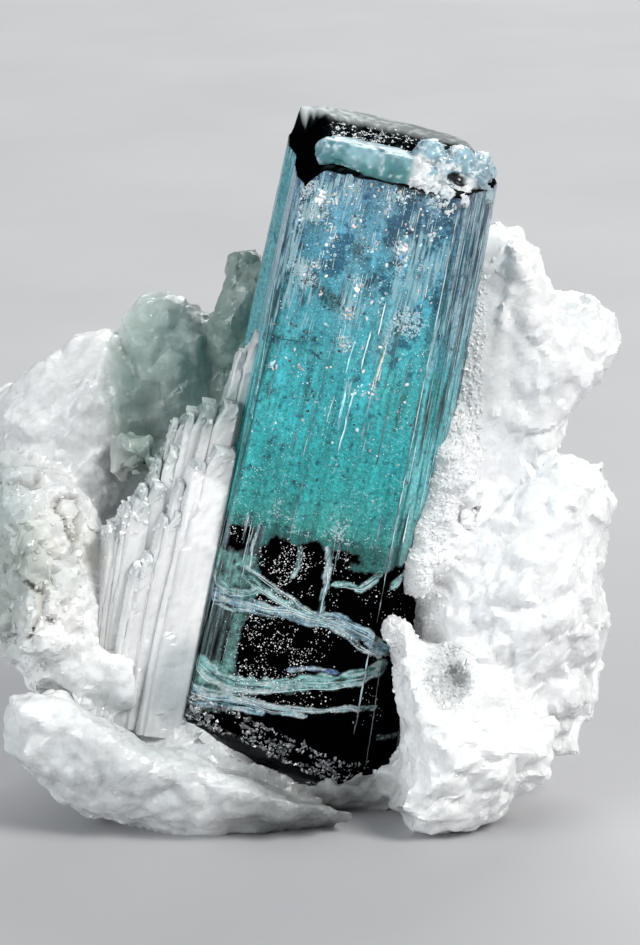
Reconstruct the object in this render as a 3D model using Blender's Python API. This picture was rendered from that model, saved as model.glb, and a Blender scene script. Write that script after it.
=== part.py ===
"""A blue-capped indicolite (tourmaline) crystal standing in its white albite matrix.

Two solids: indicolite_crystal, one striated prism with a broken foot and a crusted
top, and albite_matrix, the rock that it grew from, with its stack of tabular
cleavelandite blades. Metres, +Z up, the front of the specimen faces -Y, and the
origin is at the middle of the footprint, on the surface that the rock rests on.
"""

import math
import random

import bmesh
import bpy
from mathutils import Matrix, Vector, noise

MM = 0.001

# ---- driving dimensions, in millimetres ----
CONTACT_GAP = 0.3  # left between the crystal and the rock that holds it
ORIGIN = Vector((0.06, 0.16, 0.5))  # from the origin to the point all shapes are drawn from
CRYSTAL_FOOT = Vector((-3.3, 1.2, 0.0))  # where the prism's axis meets that point's level
CRYSTAL_LEAN = Vector((0.2157, -0.0524, 1.0))  # rise of one along the axis
PRISM_TOP = 46.3  # the basal face, measured along the axis
LIP_TOP = 47.4  # the lip that stands along its back
FOOT_LEFT, FOOT_RIGHT = 5.7, 2.3  # the broken foot slants down to the right
FOOT_RISE = 0.25  # and up to the back
FLARE = 0.36  # the right side widens by this share from the top to the foot
STRIATION_DEPTH, STRIATION_WIDTH = 0.16, 0.34

# The prism's section at its top. Points run anticlockwise seen from above: u to the
# right, v to the back. Three narrow faces bevel its front right side, and the thin
# rib stands out at the left.
SECTION = [
    (-6.1, -6.0), (4.25, -6.1), (5.1, -5.3), (5.9, -4.1), (6.6, -2.6), (7.0, -0.8),
    (6.8, 1.6), (5.9, 4.0), (4.2, 5.6), (1.0, 6.6), (-2.6, 6.9), (-5.2, 6.3),
    (-6.9, 4.9), (-7.4, 3.4), (-7.4, 1.5), (-6.8, 0.5), (-6.8, -2.4), (-6.6, -4.8),
]  # fmt: skip
# How many grooves each side of the section carries, from its first point on.
STRIAE = [3, 1, 1, 1, 1, 1, 2, 1, 2, 2, 1, 1, 0, 0, 0, 2, 1, 0]


# ---- meshes and placing ----
def clear_scene():
    for obj in list(bpy.data.objects):
        bpy.data.objects.remove(obj)


def material(name, colour, roughness, transmission=0.0):
    made = bpy.data.materials.new(name)
    made.use_nodes = True
    shader = made.node_tree.nodes["Principled BSDF"]
    shader.inputs["Base Color"].default_value = (*colour, 1.0)
    shader.inputs["Roughness"].default_value = roughness
    shader.inputs["Transmission Weight"].default_value = transmission
    return made


def object_from(name, points, faces, collection=None):
    """An object whose mesh holds these points, given in millimetres."""
    mesh = bpy.data.meshes.new(name)
    mesh.from_pydata([Vector(p) * MM for p in points], [], faces)
    shape = bmesh.new()
    shape.from_mesh(mesh)
    bmesh.ops.recalc_face_normals(shape, faces=shape.faces)
    bmesh.ops.triangulate(shape, faces=shape.faces)
    shape.to_mesh(mesh)
    shape.free()
    obj = bpy.data.objects.new(name, mesh)
    (collection or bpy.context.scene.collection).objects.link(obj)
    return obj


def hidden_collection(name):
    """Shapes that a Boolean joins or cuts with; they are no pieces of their own."""
    made = bpy.data.collections.new(name)
    bpy.context.scene.collection.children.link(made)
    return made


def hide_helper(obj):
    obj.hide_render = True
    obj.display_type = "WIRE"
    return obj


def boolean(obj, name, operation, operand):
    made = obj.modifiers.new(name, "BOOLEAN")
    made.operation = operation
    made.solver = "EXACT"
    if isinstance(operand, bpy.types.Collection):
        made.operand_type = "COLLECTION"
        made.collection = operand
    else:
        made.object = operand
    return made


def hull(name, points, collection):
    """A convex block round these points."""
    shape = bmesh.new()
    for point in points:
        shape.verts.new(Vector(point))
    bmesh.ops.convex_hull(shape, input=shape.verts)
    loose = [v for v in shape.verts if not v.link_faces]
    bmesh.ops.delete(shape, geom=loose, context="VERTS")
    shape.verts.index_update()
    corners = [v.co.copy() for v in shape.verts]
    faces = [[v.index for v in face.verts] for face in shape.faces]
    shape.free()
    return hide_helper(object_from(name, corners, faces, collection))


def strips(rings, closed_points):
    """Faces that join equal rings of points, with a fan at each end."""
    count = rings[1] - rings[0]
    faces = []
    for low, high in zip(rings[:-1], rings[1:]):
        for i in range(count):
            j = (i + 1) % count
            faces.append((low + i, low + j, high + j, high + i))
    first, last = closed_points
    for i in range(count):
        j = (i + 1) % count
        faces.append((first, rings[0] + j, rings[0] + i))
        faces.append((last, rings[-1] + i, rings[-1] + j))
    return faces


# ---- the crystal's own frame: u right, v back, w along its axis ----
def crystal_frame():
    along = CRYSTAL_LEAN.normalized()
    right = (Vector((1, 0, 0)) - along * along.x).normalized()
    back = along.cross(right)
    turn = Matrix((right, back, along)).transposed().to_4x4()
    return Matrix.Translation((ORIGIN + CRYSTAL_FOOT) * MM) @ turn


def striated_section():
    """The section with a shallow V groove at each stria."""
    points = []
    for i, (start, striae) in enumerate(zip(SECTION, STRIAE)):
        start, end = Vector(start), Vector(SECTION[(i + 1) % len(SECTION)])
        side = end - start
        inward = Vector((-side.y, side.x)).normalized() * STRIATION_DEPTH
        half = side.normalized() * STRIATION_WIDTH / 2
        points.append(start)
        for k in range(striae):
            # Unequal spacing, as striae have.
            share = (k + 1) / (striae + 1) + 0.09 * math.sin(5.0 * k + 2.3 * i)
            middle = start + side * share
            points += [middle - half, middle + inward, middle + half]
    return points


def foot_height(u, v):
    """The broken foot: a slanting break, stepped at the front."""
    half_width = SECTION[5][0]
    share = (u + half_width) / (2 * half_width)
    return FOOT_LEFT + (FOOT_RIGHT - FOOT_LEFT) * share + FOOT_RISE * (v + 6.0)


def flared(u, height):
    return u * (1 + FLARE * (1 - height / PRISM_TOP)) if u > 0 else u


def prism(name, section, top, grow=0.0, sink=0.0, collection=None):
    """The section carried up from the broken foot, grow millimetres fatter."""
    rings, points = [], []
    for level in [0.0, 13.0, 25.0, 37.0, top]:
        rings.append(len(points))
        for u, v in section:
            out = Vector((u, v)).normalized() * grow
            height = level or foot_height(flared(u, 3.0), v) - sink
            points.append((flared(u, height) + out.x, v + out.y, height))
    points += [(0, 0, foot_height(0, 0) - sink), (0, 0, top)]
    ends = (len(points) - 2, len(points) - 1)
    return object_from(name, points, strips(rings, ends), collection)


def rod(name, spine, collection):
    """A rounded bar along a list of (u, v, w, half depth, half height)."""
    rings, points = [], []
    for u, v, w, depth, height in spine:
        rings.append(len(points))
        for k in range(8):
            angle = math.tau * (k + 0.5) / 8
            points.append((u, v + depth * math.cos(angle), w + height * math.sin(angle)))
    first, last = spine[0], spine[-1]
    points += [(first[0] - 0.25, first[1], first[2]), (last[0] + 0.25, last[1], last[2])]
    ends = (len(points) - 2, len(points) - 1)
    return hide_helper(object_from(name, points, strips(rings, ends), collection))


def knob(name, centre, size, seed, collection, facets=22):
    """A blunt crystal lump: the hull of points spread over a squarish ball."""
    draw = random.Random(seed)
    turn = Matrix.Rotation(draw.uniform(0, math.tau), 3, "Z")
    points = []
    for i in range(facets):
        height = 1 - 2 * (i + 0.5) / facets
        angle = i * math.pi * (3 - math.sqrt(5))
        reach = math.sqrt(1 - height * height)
        spot = Vector((reach * math.cos(angle), reach * math.sin(angle), height))
        squarish = Vector([math.copysign(abs(c) ** 0.72, c) for c in spot])
        squarish *= draw.uniform(0.88, 1.1)
        spot = turn @ squarish
        points.append([c + s * p for c, s, p in zip(centre, size, spot)])
    return hull(name, points, collection)


# The lumps of the crust on the right of the basal face: u, v, w and their three radii.
CRUST = [
    (1.9, -2.3, 47.1, 1.2, 1.2, 1.5), (4.0, -1.8, 47.0, 1.2, 1.3, 1.5),
    (5.5, -1.2, 46.8, 1.0, 1.1, 1.4), (3.1, -4.1, 46.7, 1.1, 1.0, 1.2),
    (1.7, -5.0, 46.5, 0.9, 0.8, 1.0), (5.3, -2.9, 46.3, 0.9, 0.9, 1.0),
    (4.2, -4.7, 46.0, 0.8, 0.7, 0.9), (3.3, -5.75, 45.6, 0.7, 0.45, 0.9),
    (6.0, 0.9, 46.4, 0.9, 1.0, 0.8),
]  # fmt: skip


def build_crystal():
    body = prism("indicolite_crystal", striated_section(), PRISM_TOP)
    grown, cut = hidden_collection("crystal_growth"), hidden_collection("crystal_breaks")

    # A lip runs along the back of the basal face.
    lip = [(u * 0.96, v * 0.96) for u, v in SECTION if v > 4.5] + [(5.2, 3.6), (-6.4, 4.0)]
    hull("back_lip", [(u, v, w) for u, v in lip for w in (45.2, LIP_TOP)], grown)
    # A thick bar lies along the front rim, on a narrow root, and the crust is on its right.
    spine = [
        (-5.3, -4.9, 47.0, 0.8, 0.5), (-4.6, -4.95, 47.2, 1.0, 0.65), (-2.6, -5.0, 47.6, 1.1, 0.7),
        (-1.2, -5.05, 47.5, 1.2, 0.85), (0.3, -5.1, 47.4, 1.2, 1.05), (0.9, -5.0, 47.3, 0.9, 0.8),
    ]  # fmt: skip
    rod("rim_bar", spine, grown)
    root = [(u, v, w) for u in (-4.7, 0.8) for v in (-4.9, -3.7) for w in (45.6, 47.2)]
    hull("bar_root", root, grown)
    for k, (u, v, w, *size) in enumerate(CRUST):
        knob(f"crust_{k}", (u, v, w), size, 20 + k, grown, 18)

    # The chipped top left corner, down to the head of the left rib.
    chip = [(-9, -7.2, 48), (-9, 4.4, 48), (-5.4, -7.2, 48), (-5.9, 3.2, 48), (-9, -7.2, 44.9)]
    chip += [(-9, 4.4, 44.4), (-6.3, -7.2, 45.9), (-6.6, 3.2, 45.4)]
    hull("corner_chip", chip, cut)
    # A dark pit in the crust.
    pit = [(u, v, w) for u in (3.35, 4.55) for v in (-7.0, -4.1) for w in (46.55, 47.15)]
    hull("crust_pit", pit, cut)
    # Ledges where slivers have come away above the foot.
    knob("foot_ledge_left", (-4.0, -7.0, 4.3), (2.6, 1.6, 1.1), 43, cut)
    knob("foot_ledge_middle", (0.4, -7.1, 3.2), (2.2, 1.8, 1.3), 44, cut)
    knob("foot_ledge_right", (4.4, -7.0, 2.1), (1.9, 1.7, 1.1), 45, cut)

    boolean(body, "growth", "UNION", grown)
    boolean(body, "breaks", "DIFFERENCE", cut)
    frame = crystal_frame()
    for obj in [body, *grown.objects, *cut.objects]:
        obj.matrix_world = frame
    body.data.materials.append(material("indicolite", (0.10, 0.52, 0.58), 0.08, 0.7))
    return body


# ---- the rock ----
# Depth and size of a boulder's rings, from its front to its back.
BOULDER_RINGS = [(0.0, 0.42), (0.1, 0.74), (0.3, 0.97), (0.55, 1.0), (0.8, 0.84), (1.0, 0.5)]


def flatten(points, seed, facets):
    """Flat faces: what stands out past each of some seeded planes is pushed back to it."""
    draw = random.Random(1000 + seed)
    middle = sum(points, Vector()) / len(points)
    for _ in range(facets):
        across, up = draw.uniform(0, math.tau), draw.uniform(-0.7, 0.95)
        level = math.sqrt(1 - up * up)
        normal = Vector((level * math.cos(across), level * math.sin(across), up))
        reach = max((point - middle).dot(normal) for point in points) * draw.uniform(0.86, 0.96)
        for point in points:
            point -= normal * max(0.0, (point - middle).dot(normal) - reach)


def boulder(name, outline, front, back, seed, rough=0.45, slope=0.0, facets=14):
    """A lump with this outline in the XZ plane, between two depths: rings of the
    outline shrunk to its middle, all shaken by smooth noise. slope moves the
    back of it up."""
    middle = [sum(values) / len(outline) for values in zip(*outline)]
    rings, points = [], []
    for share, size in BOULDER_RINGS:
        rings.append(len(points))
        depth = front + (back - front) * share
        for x, z in outline:
            points.append(
                Vector(
                    (
                        middle[0] + (x - middle[0]) * size,
                        depth,
                        middle[1] + (z - middle[1]) * size + slope * share,
                    )
                )
            )
    crown = 0.06 * (back - front)
    points.append(Vector((middle[0], front - crown, middle[1])))
    points.append(Vector((middle[0], back + crown, middle[1] + slope)))
    shift = Vector((seed * 7.3, seed * 3.1, seed * 1.7))
    for point in points:
        point += noise.noise_vector(point * 0.31 + shift) * rough
        point += noise.noise_vector(point * 0.9 + shift) * rough * 0.5
    flatten(points, seed, facets)
    ends = (len(points) - 2, len(points) - 1)
    return hide_helper(object_from(name, points, strips(rings, ends), ROCK["grown"]))


def blade(name, head, foot, front, thickness, depth, twist):
    """One tabular crystal, its thin edge to the front. head and foot are the (x, z) of
    that edge's ends, front its depth, twist turns its face in degrees."""
    head, foot = Vector(head), Vector(foot)
    length = (head - foot).length
    thin, half = thickness * 0.32, thickness / 2
    # Side view, from the front edge of the foot to the back: the head falls in steps.
    side = [
        (0.0, 0.0), (depth, 0.0), (depth, length * 0.84), (depth * 0.72, length * 0.86),
        (depth * 0.70, length * 0.93), (depth * 0.34, length * 0.95), (depth * 0.3, length),
        (depth * 0.06, length * 0.985), (0.0, length * 0.93),
    ]  # fmt: skip
    points = []
    for sign in (-1, 1):
        for y, z in side:
            reach = half + (thin - half) * max(0.0, (z / length - 0.8) / 0.2)
            points.append((sign * reach, y, z))
    count = len(side)
    faces = [list(range(count)), list(range(2 * count - 1, count - 1, -1))]
    faces += [(i, (i + 1) % count, count + (i + 1) % count, count + i) for i in range(count)]
    made = hide_helper(object_from(name, points, faces, ROCK["grown"]))
    lean = math.atan2(head.x - foot.x, head.y - foot.y)
    made.matrix_world = (
        Matrix.Translation(Vector((foot.x, front, foot.y)) * MM)
        @ Matrix.Rotation(lean, 4, "Y")
        @ Matrix.Rotation(math.radians(twist), 4, "Z")
    )
    return made


ROCK = {}


# The cleavelandite plates along the crystal's left side, the tallest against the
# prism and each next one shorter: head (x, z), foot (x, z), depth of the front edge,
# thickness, depth of the plate and twist.
BLADES = [
    ((-2.9, 33.4), (-8.6, 7.0), -3.6, 1.6, 4.6, 4), ((-5.5, 25.9), (-9.9, 5.0), -5.6, 1.9, 5.0, 10),
    ((-5.2, 28.9), (-10.2, 7.0), -4.7, 1.5, 5.5, 6), ((-6.7, 28.7), (-10.9, 8.0), -4.1, 1.3, 5.2, 4),
    ((-7.9, 27.9), (-11.4, 9.0), -3.2, 1.3, 5.0, 0), ((-7.3, 24.3), (-10.9, 6.0), -5.1, 1.4, 5.0, 12),
    ((-9.0, 25.6), (-12.1, 8.0), -3.7, 1.2, 5.0, 7), ((-8.6, 21.4), (-11.6, 5.5), -5.4, 1.2, 4.4, 16),
    ((-10.1, 23.1), (-12.7, 8.0), -4.2, 1.2, 5.0, 10), ((-11.2, 21.9), (-13.2, 8.0), -4.4, 1.2, 4.6, 14),
    ((-12.3, 20.4), (-13.7, 8.0), -4.1, 1.2, 4.4, 18), ((-10.4, 18.2), (-12.6, 5.5), -5.5, 1.2, 4.0, 20),
]  # fmt: skip

# Blunt grains of the rock that overlap the crystal's right edge: x, y, z and radii.
EDGE_GRAINS = [
    (10.4, -1.2, 26.3, 1.3, 2.2, 1.3), (10.2, -2.2, 24.6, 1.5, 2.4, 1.6),
    (9.7, -2.3, 22.4, 1.3, 2.6, 1.5), (9.6, -3.3, 20.9, 1.4, 2.4, 1.3),
    (9.0, -3.2, 19.3, 1.4, 2.6, 1.7), (8.7, -4.1, 17.2, 1.6, 2.2, 1.3),
    (8.2, -3.9, 15.8, 1.1, 2.4, 1.2), (11.3, -2.6, 22.8, 1.5, 2.4, 2.0),
    (10.6, -3.6, 18.0, 1.5, 2.6, 2.0),
]  # fmt: skip


def build_right_side():
    shoulder = [
        (10.5, 40.8), (14.1, 40.2), (15.6, 39.2), (16.6, 37.2), (17.6, 35.0), (20.0, 34.2),
        (21.5, 33.4), (22.6, 31.2), (21.0, 28.4), (19.2, 25.6), (17.9, 22.8), (15.0, 15.0),
        (9.2, 9.5), (5.5, 14.0), (7.5, 26.0),
    ]  # fmt: skip
    boulder("shoulder", shoulder, -2.0, 9.5, 1, 0.3)
    lobe = [
        (15.8, 25.2), (17.6, 25.1), (20.0, 23.5), (21.7, 20.8), (21.2, 17.5), (21.7, 15.6),
        (22.4, 12.0), (21.9, 10.0), (19.5, 4.8), (11.8, 1.0), (7.0, 5.0), (8.3, 15.0),
        (11.5, 21.2),
    ]  # fmt: skip
    boulder("right_lobe", lobe, -7.5, 6.5, 2, 0.35)
    knob("right_ear", (19.4, -1.0, 6.6), (2.2, 2.6, 2.6), 50, ROCK["grown"])
    knob("under_ear", (17.4, -2.6, 4.8), (2.4, 2.8, 2.0), 57, ROCK["grown"])
    front_lobe = [
        (5.9, 12.7), (6.9, 13.6), (8.7, 12.4), (13.6, 10.0), (17.6, 6.6), (16.9, 3.6),
        (15.2, 1.8), (13.7, 0.5), (11.8, -0.4), (9.5, -0.8), (7.2, -0.7), (5.8, 1.2),
        (6.3, 4.2), (6.4, 8.6),
    ]  # fmt: skip
    boulder("front_right_lobe", front_lobe, -13.3, -2.0, 4, 0.25, 0.0, 7)
    knob("shoulder_knob", (19.2, 3.0, 32.9), (1.7, 2.2, 1.6), 51, ROCK["grown"])
    knob("shoulder_brow", (14.0, 1.5, 37.4), (2.4, 3.0, 2.6), 53, ROCK["grown"])
    knob("lobe_brow", (18.6, -2.5, 21.5), (3.0, 3.6, 2.7), 54, ROCK["grown"])
    knob("lobe_cheek", (19.6, -1.5, 12.5), (2.6, 3.6, 3.6), 55, ROCK["grown"])
    knob("edge_grain", (6.9, -6.0, 12.6), (1.2, 1.6, 1.3), 56, ROCK["grown"])
    for k, (x, y, z, *size) in enumerate(EDGE_GRAINS):
        knob(f"overlap_{k}", (x, y, z), size, 90 + k, ROCK["grown"], 18)


def build_left_side():
    far_block = [
        (-13.3, 30.6), (-13.1, 32.4), (-11.8, 33.4), (-9.9, 33.6), (-8.0, 33.6), (-7.1, 32.7),
        (-6.8, 31.0), (-6.6, 25.0), (-8.0, 12.0), (-12.5, 12.0), (-13.5, 24.0),
    ]  # fmt: skip
    boulder("far_block", far_block, 5.0, 12.5, 5, 0.2)
    far_lump = [
        (-22.5, 26.8), (-19.5, 28.9), (-17.3, 30.1), (-15.2, 30.8), (-13.2, 31.4), (-11.0, 26.0),
        (-10.0, 14.0), (-17.0, 10.0), (-22.6, 15.0), (-22.9, 22.0),
    ]  # fmt: skip
    boulder("far_lump", far_lump, 1.5, 12.5, 6, 0.3, 0.0, 7)
    near_lump = [
        (-22.4, 24.6), (-20.4, 25.0), (-17.1, 22.9), (-15.3, 22.2), (-13.8, 20.0), (-13.6, 14.9),
        (-12.9, 11.1), (-12.0, 7.0), (-14.0, 5.0), (-19.0, 6.5), (-22.6, 12.0),
    ]  # fmt: skip
    boulder("near_lump", near_lump, -6.0, 6.0, 7, 0.4)
    far_knob = [
        (-7.4, 31.2), (-6.3, 32.8), (-5.7, 35.2), (-5.0, 36.5), (-3.9, 36.9), (-2.8, 36.4),
        (-1.6, 30.0), (-2.5, 18.0), (-7.5, 18.0),
    ]  # fmt: skip
    boulder("far_knob", far_knob, 6.5, 12.0, 8, 0.12, 0.0, 0)
    knob("near_grain_0", (-17.6, -5.0, 13.6), (2.6, 2.2, 3.4), 61, ROCK["grown"])
    knob("near_grain_1", (-19.6, -3.0, 20.3), (2.4, 2.4, 2.2), 62, ROCK["grown"])
    knob("near_grain_2", (-15.2, -4.8, 9.6), (2.2, 1.8, 2.0), 63, ROCK["grown"])
    knob("near_grain_3", (-12.0, 0.4, 23.6), (1.6, 1.8, 1.8), 64, ROCK["grown"])
    knob("near_grain_4", (-12.7, -5.2, 9.0), (2.2, 1.8, 3.0), 65, ROCK["grown"])


def build_blades():
    root = [(x, y, z) for x in (-13.6, -9.4) for y in (-4.0, 3.0) for z in (0.0, 8.6)]
    hull("blade_root", root, ROCK["grown"])
    for k, (head, foot, front, thickness, depth, twist) in enumerate(BLADES):
        blade(f"blade_{k}", head, foot, front, thickness, depth, twist)


def build_foot_and_back():
    """The lumps that the specimen rests on, and the rough rock behind."""
    sill = [
        (-22.4, 11.4), (-20.6, 11.3), (-16.3, 11.0), (-13.4, 9.3), (-10.9, 7.7), (-8.5, 7.2),
        (-3.3, 4.8), (1.5, 2.9), (4.6, 2.3), (5.0, 1.5),
        (3.9, 1.0), (-3.3, 0.7), (-8.6, 0.4), (-12.6, 1.2), (-15.6, 2.2), (-19.1, 4.2),
        (-22.2, 6.0),
    ]  # fmt: skip
    boulder("sill", sill, -13.2, -4.0, 11, 0.25, -3.4)
    base = [
        (-17.0, 7.0), (-12.0, 7.6), (-9.5, 5.6), (-4.0, 2.0), (3.0, -0.2), (8.0, 0.0),
        (12.0, 4.5), (17.0, 7.0), (15.5, -1.8), (0.0, -2.4), (-14.5, -1.8),
    ]  # fmt: skip
    boulder("base", base, -7.0, 12.0, 9, 0.3, 3.0, 0)
    back = [
        (-14.0, 24.0), (-6.0, 27.0), (0.0, 24.0), (6.0, 29.0), (12.0, 31.0), (17.0, 24.0),
        (18.5, 12.0), (15.0, -1.5), (-14.0, -1.5), (-19.0, 12.0),
    ]  # fmt: skip
    boulder("back_mass", back, 1.5, 12.2, 10, 0.7)
    for k, (x, z, size) in enumerate([(-13, 18, 3.6), (-5, 21, 3.2), (3, 16, 3.9), (11, 21, 3.5), (-9, 8, 4.2), (5, 6, 4.4), (13, 10, 3.6)]):
        knob(f"back_knob_{k}", (x, 10.4, z), (size, 2.3, size), 80 + k, ROCK["grown"], 26)


def build_matrix():
    ROCK["grown"] = hidden_collection("albite_growth")
    build_right_side()
    build_left_side()
    build_blades()
    build_foot_and_back()

    # The first lump of the rock carries the others.
    core = [(-14, 0, -2), (13, 0, -2), (14, 9, -2), (-14, 9, -2), (-12, 1, 8), (12, 2, 7), (12, 4, 15)]
    core += [(12, 8, 18), (-12, 8, 16), (15, 3, 8), (15, 8, 11), (-14.5, 4, 6)]
    seed_block = hull("albite_matrix", core, bpy.context.scene.collection)
    seed_block.hide_render = False
    seed_block.display_type = "TEXTURED"

    socket = prism("crystal_socket", SECTION, PRISM_TOP + 12, CONTACT_GAP, CONTACT_GAP * 1.2)
    hide_helper(socket)
    vug = knob("vug", (10.4, -9.6, 10.7), (1.0, 2.0, 1.5), 99, bpy.context.scene.collection)
    for rock in [seed_block, vug, *ROCK["grown"].objects]:
        rock.matrix_world = Matrix.Translation(ORIGIN * MM) @ rock.matrix_world
    socket.matrix_world = crystal_frame()
    table = [(x, y, z) for x in (-40, 40) for y in (-40, 40) for z in (-20, 0)]
    table = hull("table", table, bpy.context.scene.collection)

    boolean(seed_block, "growth", "UNION", ROCK["grown"])
    boolean(seed_block, "socket", "DIFFERENCE", socket)
    boolean(seed_block, "vug", "DIFFERENCE", vug)
    boolean(seed_block, "flat_foot", "DIFFERENCE", table)
    seed_block.data.materials.append(material("albite", (0.86, 0.87, 0.86), 0.45))
    return seed_block


clear_scene()
build_crystal()
build_matrix()
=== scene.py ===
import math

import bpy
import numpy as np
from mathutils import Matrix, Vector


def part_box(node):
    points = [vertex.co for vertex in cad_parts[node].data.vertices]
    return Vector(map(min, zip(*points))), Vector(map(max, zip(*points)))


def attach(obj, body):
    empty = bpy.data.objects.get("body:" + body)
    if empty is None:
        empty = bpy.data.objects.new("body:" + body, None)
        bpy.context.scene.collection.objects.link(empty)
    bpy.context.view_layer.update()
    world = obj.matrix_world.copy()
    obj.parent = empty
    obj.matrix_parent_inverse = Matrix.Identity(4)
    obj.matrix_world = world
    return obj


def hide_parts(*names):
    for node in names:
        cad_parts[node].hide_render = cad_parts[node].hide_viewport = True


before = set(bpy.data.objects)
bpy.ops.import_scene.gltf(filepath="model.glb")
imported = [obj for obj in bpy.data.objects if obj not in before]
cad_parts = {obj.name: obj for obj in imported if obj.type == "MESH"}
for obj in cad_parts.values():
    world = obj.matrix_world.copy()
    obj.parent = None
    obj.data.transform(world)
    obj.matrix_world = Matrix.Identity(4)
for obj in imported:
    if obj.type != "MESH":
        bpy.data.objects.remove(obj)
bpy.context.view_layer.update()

# %% [markdown]
# # A blue-capped indicolite in albite
#
# Indicolite is the blue tourmaline. It grows as long prisms whose sides are scored with
# fine lines, the striae, and its colour changes along the prism as the fluid that fed it
# changed. This one is nearly black at its broken foot, teal in the middle and blue at the
# top, and it stands in white albite, a feldspar. The feldspar beside it grew as a stack of
# thin plates, which mineralogists call cleavelandite.
#
# The lesson builds the crystal, what is in it and on it, then the rock, and last the light.
# All lengths are written in millimetres and turned into metres when a mesh is made.

matrix_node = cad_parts["albite_matrix"]
MM = 0.001

# %% [markdown]
# ## Noise
#
# Nature's roughness is described by noise: a random number at each corner of a grid, and a
# smooth blend between the corners. Octaves of it, each half as large and half as strong,
# give clouds. The number at a corner comes from its whole-number coordinates, stirred with
# large odd factors, so the same place always gets the same number. Every call names a size
# and a seed. The seed only has to differ from the others, so that no two clouds are alike.


# %% Value noise and its octaves
def corner_number(x, y, z, seed):
    """A number between 0 and 1 for each whole-number corner."""
    mixed = x * 374761393 + y * 668265263 + z * 1274126177 + seed * 974711
    mixed = (mixed ^ (mixed >> 13)) & 0x7FFFFFFF
    mixed = (mixed * 1103515245 + 12345) & 0x7FFFFFFF
    return ((mixed ^ (mixed >> 16)) & 0xFFFF) / 65535.0


def value_noise(points, seed):
    """The blend, by the smooth step 3t^2 - 2t^3, of the eight corners round each point."""
    low = np.floor(points).astype(np.int64)
    share = points - low
    share = share * share * (3 - 2 * share)
    total = np.zeros(len(points))
    for dx in (0, 1):
        for dy in (0, 1):
            for dz in (0, 1):
                weight = np.abs(1 - dx - share[:, 0])
                weight = weight * np.abs(1 - dy - share[:, 1])
                weight = weight * np.abs(1 - dz - share[:, 2])
                number = corner_number(low[:, 0] + dx, low[:, 1] + dy, low[:, 2] + dz, seed)
                total += weight * number
    return total


def clouds(points, size, seed, octaves=4):
    """Octaves of value noise about 0.5; size is that of the largest blobs."""
    total, weight, reach = np.zeros(len(points)), 1.0, 0.0
    for k in range(octaves):
        total += weight * value_noise(points * (2.0**k / size) + 17.3 * k, seed + k)
        reach += weight
        weight *= 0.5
    return total / reach


def flat(a, b=0.0):
    """Points of a plane, for noise that depends on one or two numbers."""
    return np.column_stack([a, b + 0.0 * a, 0.0 * a])


def smooth_step(low, high, values):
    """0 at low, 1 at high, and 3t^2 - 2t^3 between; low may be the larger of the two."""
    share = np.clip((values - low) / (high - low), 0.0, 1.0)
    return share * share * (3 - 2 * share)


def blob(points, centre, radii, edge=0.35):
    """1 inside an ellipsoid, 0 outside, soft over edge."""
    reach = np.sqrt((((points - np.array(centre)) / np.array(radii)) ** 2).sum(axis=1))
    return smooth_step(1 + edge / 2, 1 - edge / 2, reach)


# %% [markdown]
# ## Grains, blocks and ledges
#
# Crystals that grew against each other end in small flat faces. Two fields imitate them: a
# plane of its own tilt in each grain, and a heap of turned blocks. Ledges are the steps that
# cleavage leaves, so they all face the same way.


# %% Planes of the grains
def cells_round(points, size, seed, numbers):
    """Each of the 27 cells round the points has one centre. Gives the way from it to the
    points, in shares of the size, and the numbers that are drawn for the cell."""
    scaled = points / size
    cell = np.floor(scaled).astype(np.int64)
    for dx in (-1, 0, 1):
        for dy in (-1, 0, 1):
            for dz in (-1, 0, 1):
                corner = (cell[:, 0] + dx, cell[:, 1] + dy, cell[:, 2] + dz)
                drawn = [corner_number(*corner, seed + k) for k in range(numbers)]
                centre = np.stack([corner[k] + drawn[k] for k in range(3)], axis=1)
                yield scaled - centre, drawn


def grain_planes(points, size, seed):
    """Height, from about -0.5 to 0.5, of a tilted plane in each grain of that size, and the
    grain's own number from 0 to 1."""
    nearest = np.full(len(points), 1e9)
    height, number = np.zeros(len(points)), np.zeros(len(points))
    for way, drawn in cells_round(points, size, seed, 6):
        gap = (way**2).sum(axis=1)
        tilt = np.stack(drawn[3:], axis=1) - 0.5
        tilt /= np.linalg.norm(tilt, axis=1)[:, None] + 1e-9
        nearer = gap < nearest
        nearest = np.where(nearer, gap, nearest)
        height = np.where(nearer, (way * tilt).sum(axis=1), height)
        number = np.where(nearer, drawn[3], number)
    return height, number


# %% Turned blocks
def rotations(q):
    """The rotation matrices of quaternions, one in each row, after they are made unit."""
    a, b, c, d = (q / np.linalg.norm(q, axis=1)[:, None]).T
    return np.stack([
        1 - 2 * (c * c + d * d), 2 * (b * c - a * d), 2 * (b * d + a * c),
        2 * (b * c + a * d), 1 - 2 * (b * b + d * d), 2 * (c * d - a * b),
        2 * (b * d - a * c), 2 * (c * d + a * b), 1 - 2 * (b * b + c * c),
    ], axis=-1).reshape(-1, 3, 3)  # fmt: skip


def blocks(points, size, seed):
    """A heap of turned blocks: near each centre the height is the lower of the block's
    tilted top and its slanting sides, and the heap is the highest block at each point.
    Returns that height, in shares of the size, and the block's own number from 0 to 1."""
    height, number = np.full(len(points), -0.4), np.zeros(len(points))
    for way, drawn in cells_round(points, size, seed, 8):
        turns = rotations(np.stack(drawn[3:7], axis=1) - 0.5)
        own = np.einsum("nij,nj->ni", turns, way)
        sides = 0.75 - np.abs(own * (0.9, 1.2, 1.5)).max(axis=1)
        top = 0.12 + 0.28 * drawn[7] + own @ (0.34, 0.28, 0.2)
        here = np.minimum(top, sides)
        higher = here > height
        height = np.where(higher, here, height)
        number = np.where(higher, drawn[7], number)
    return height - 0.2, number


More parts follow.
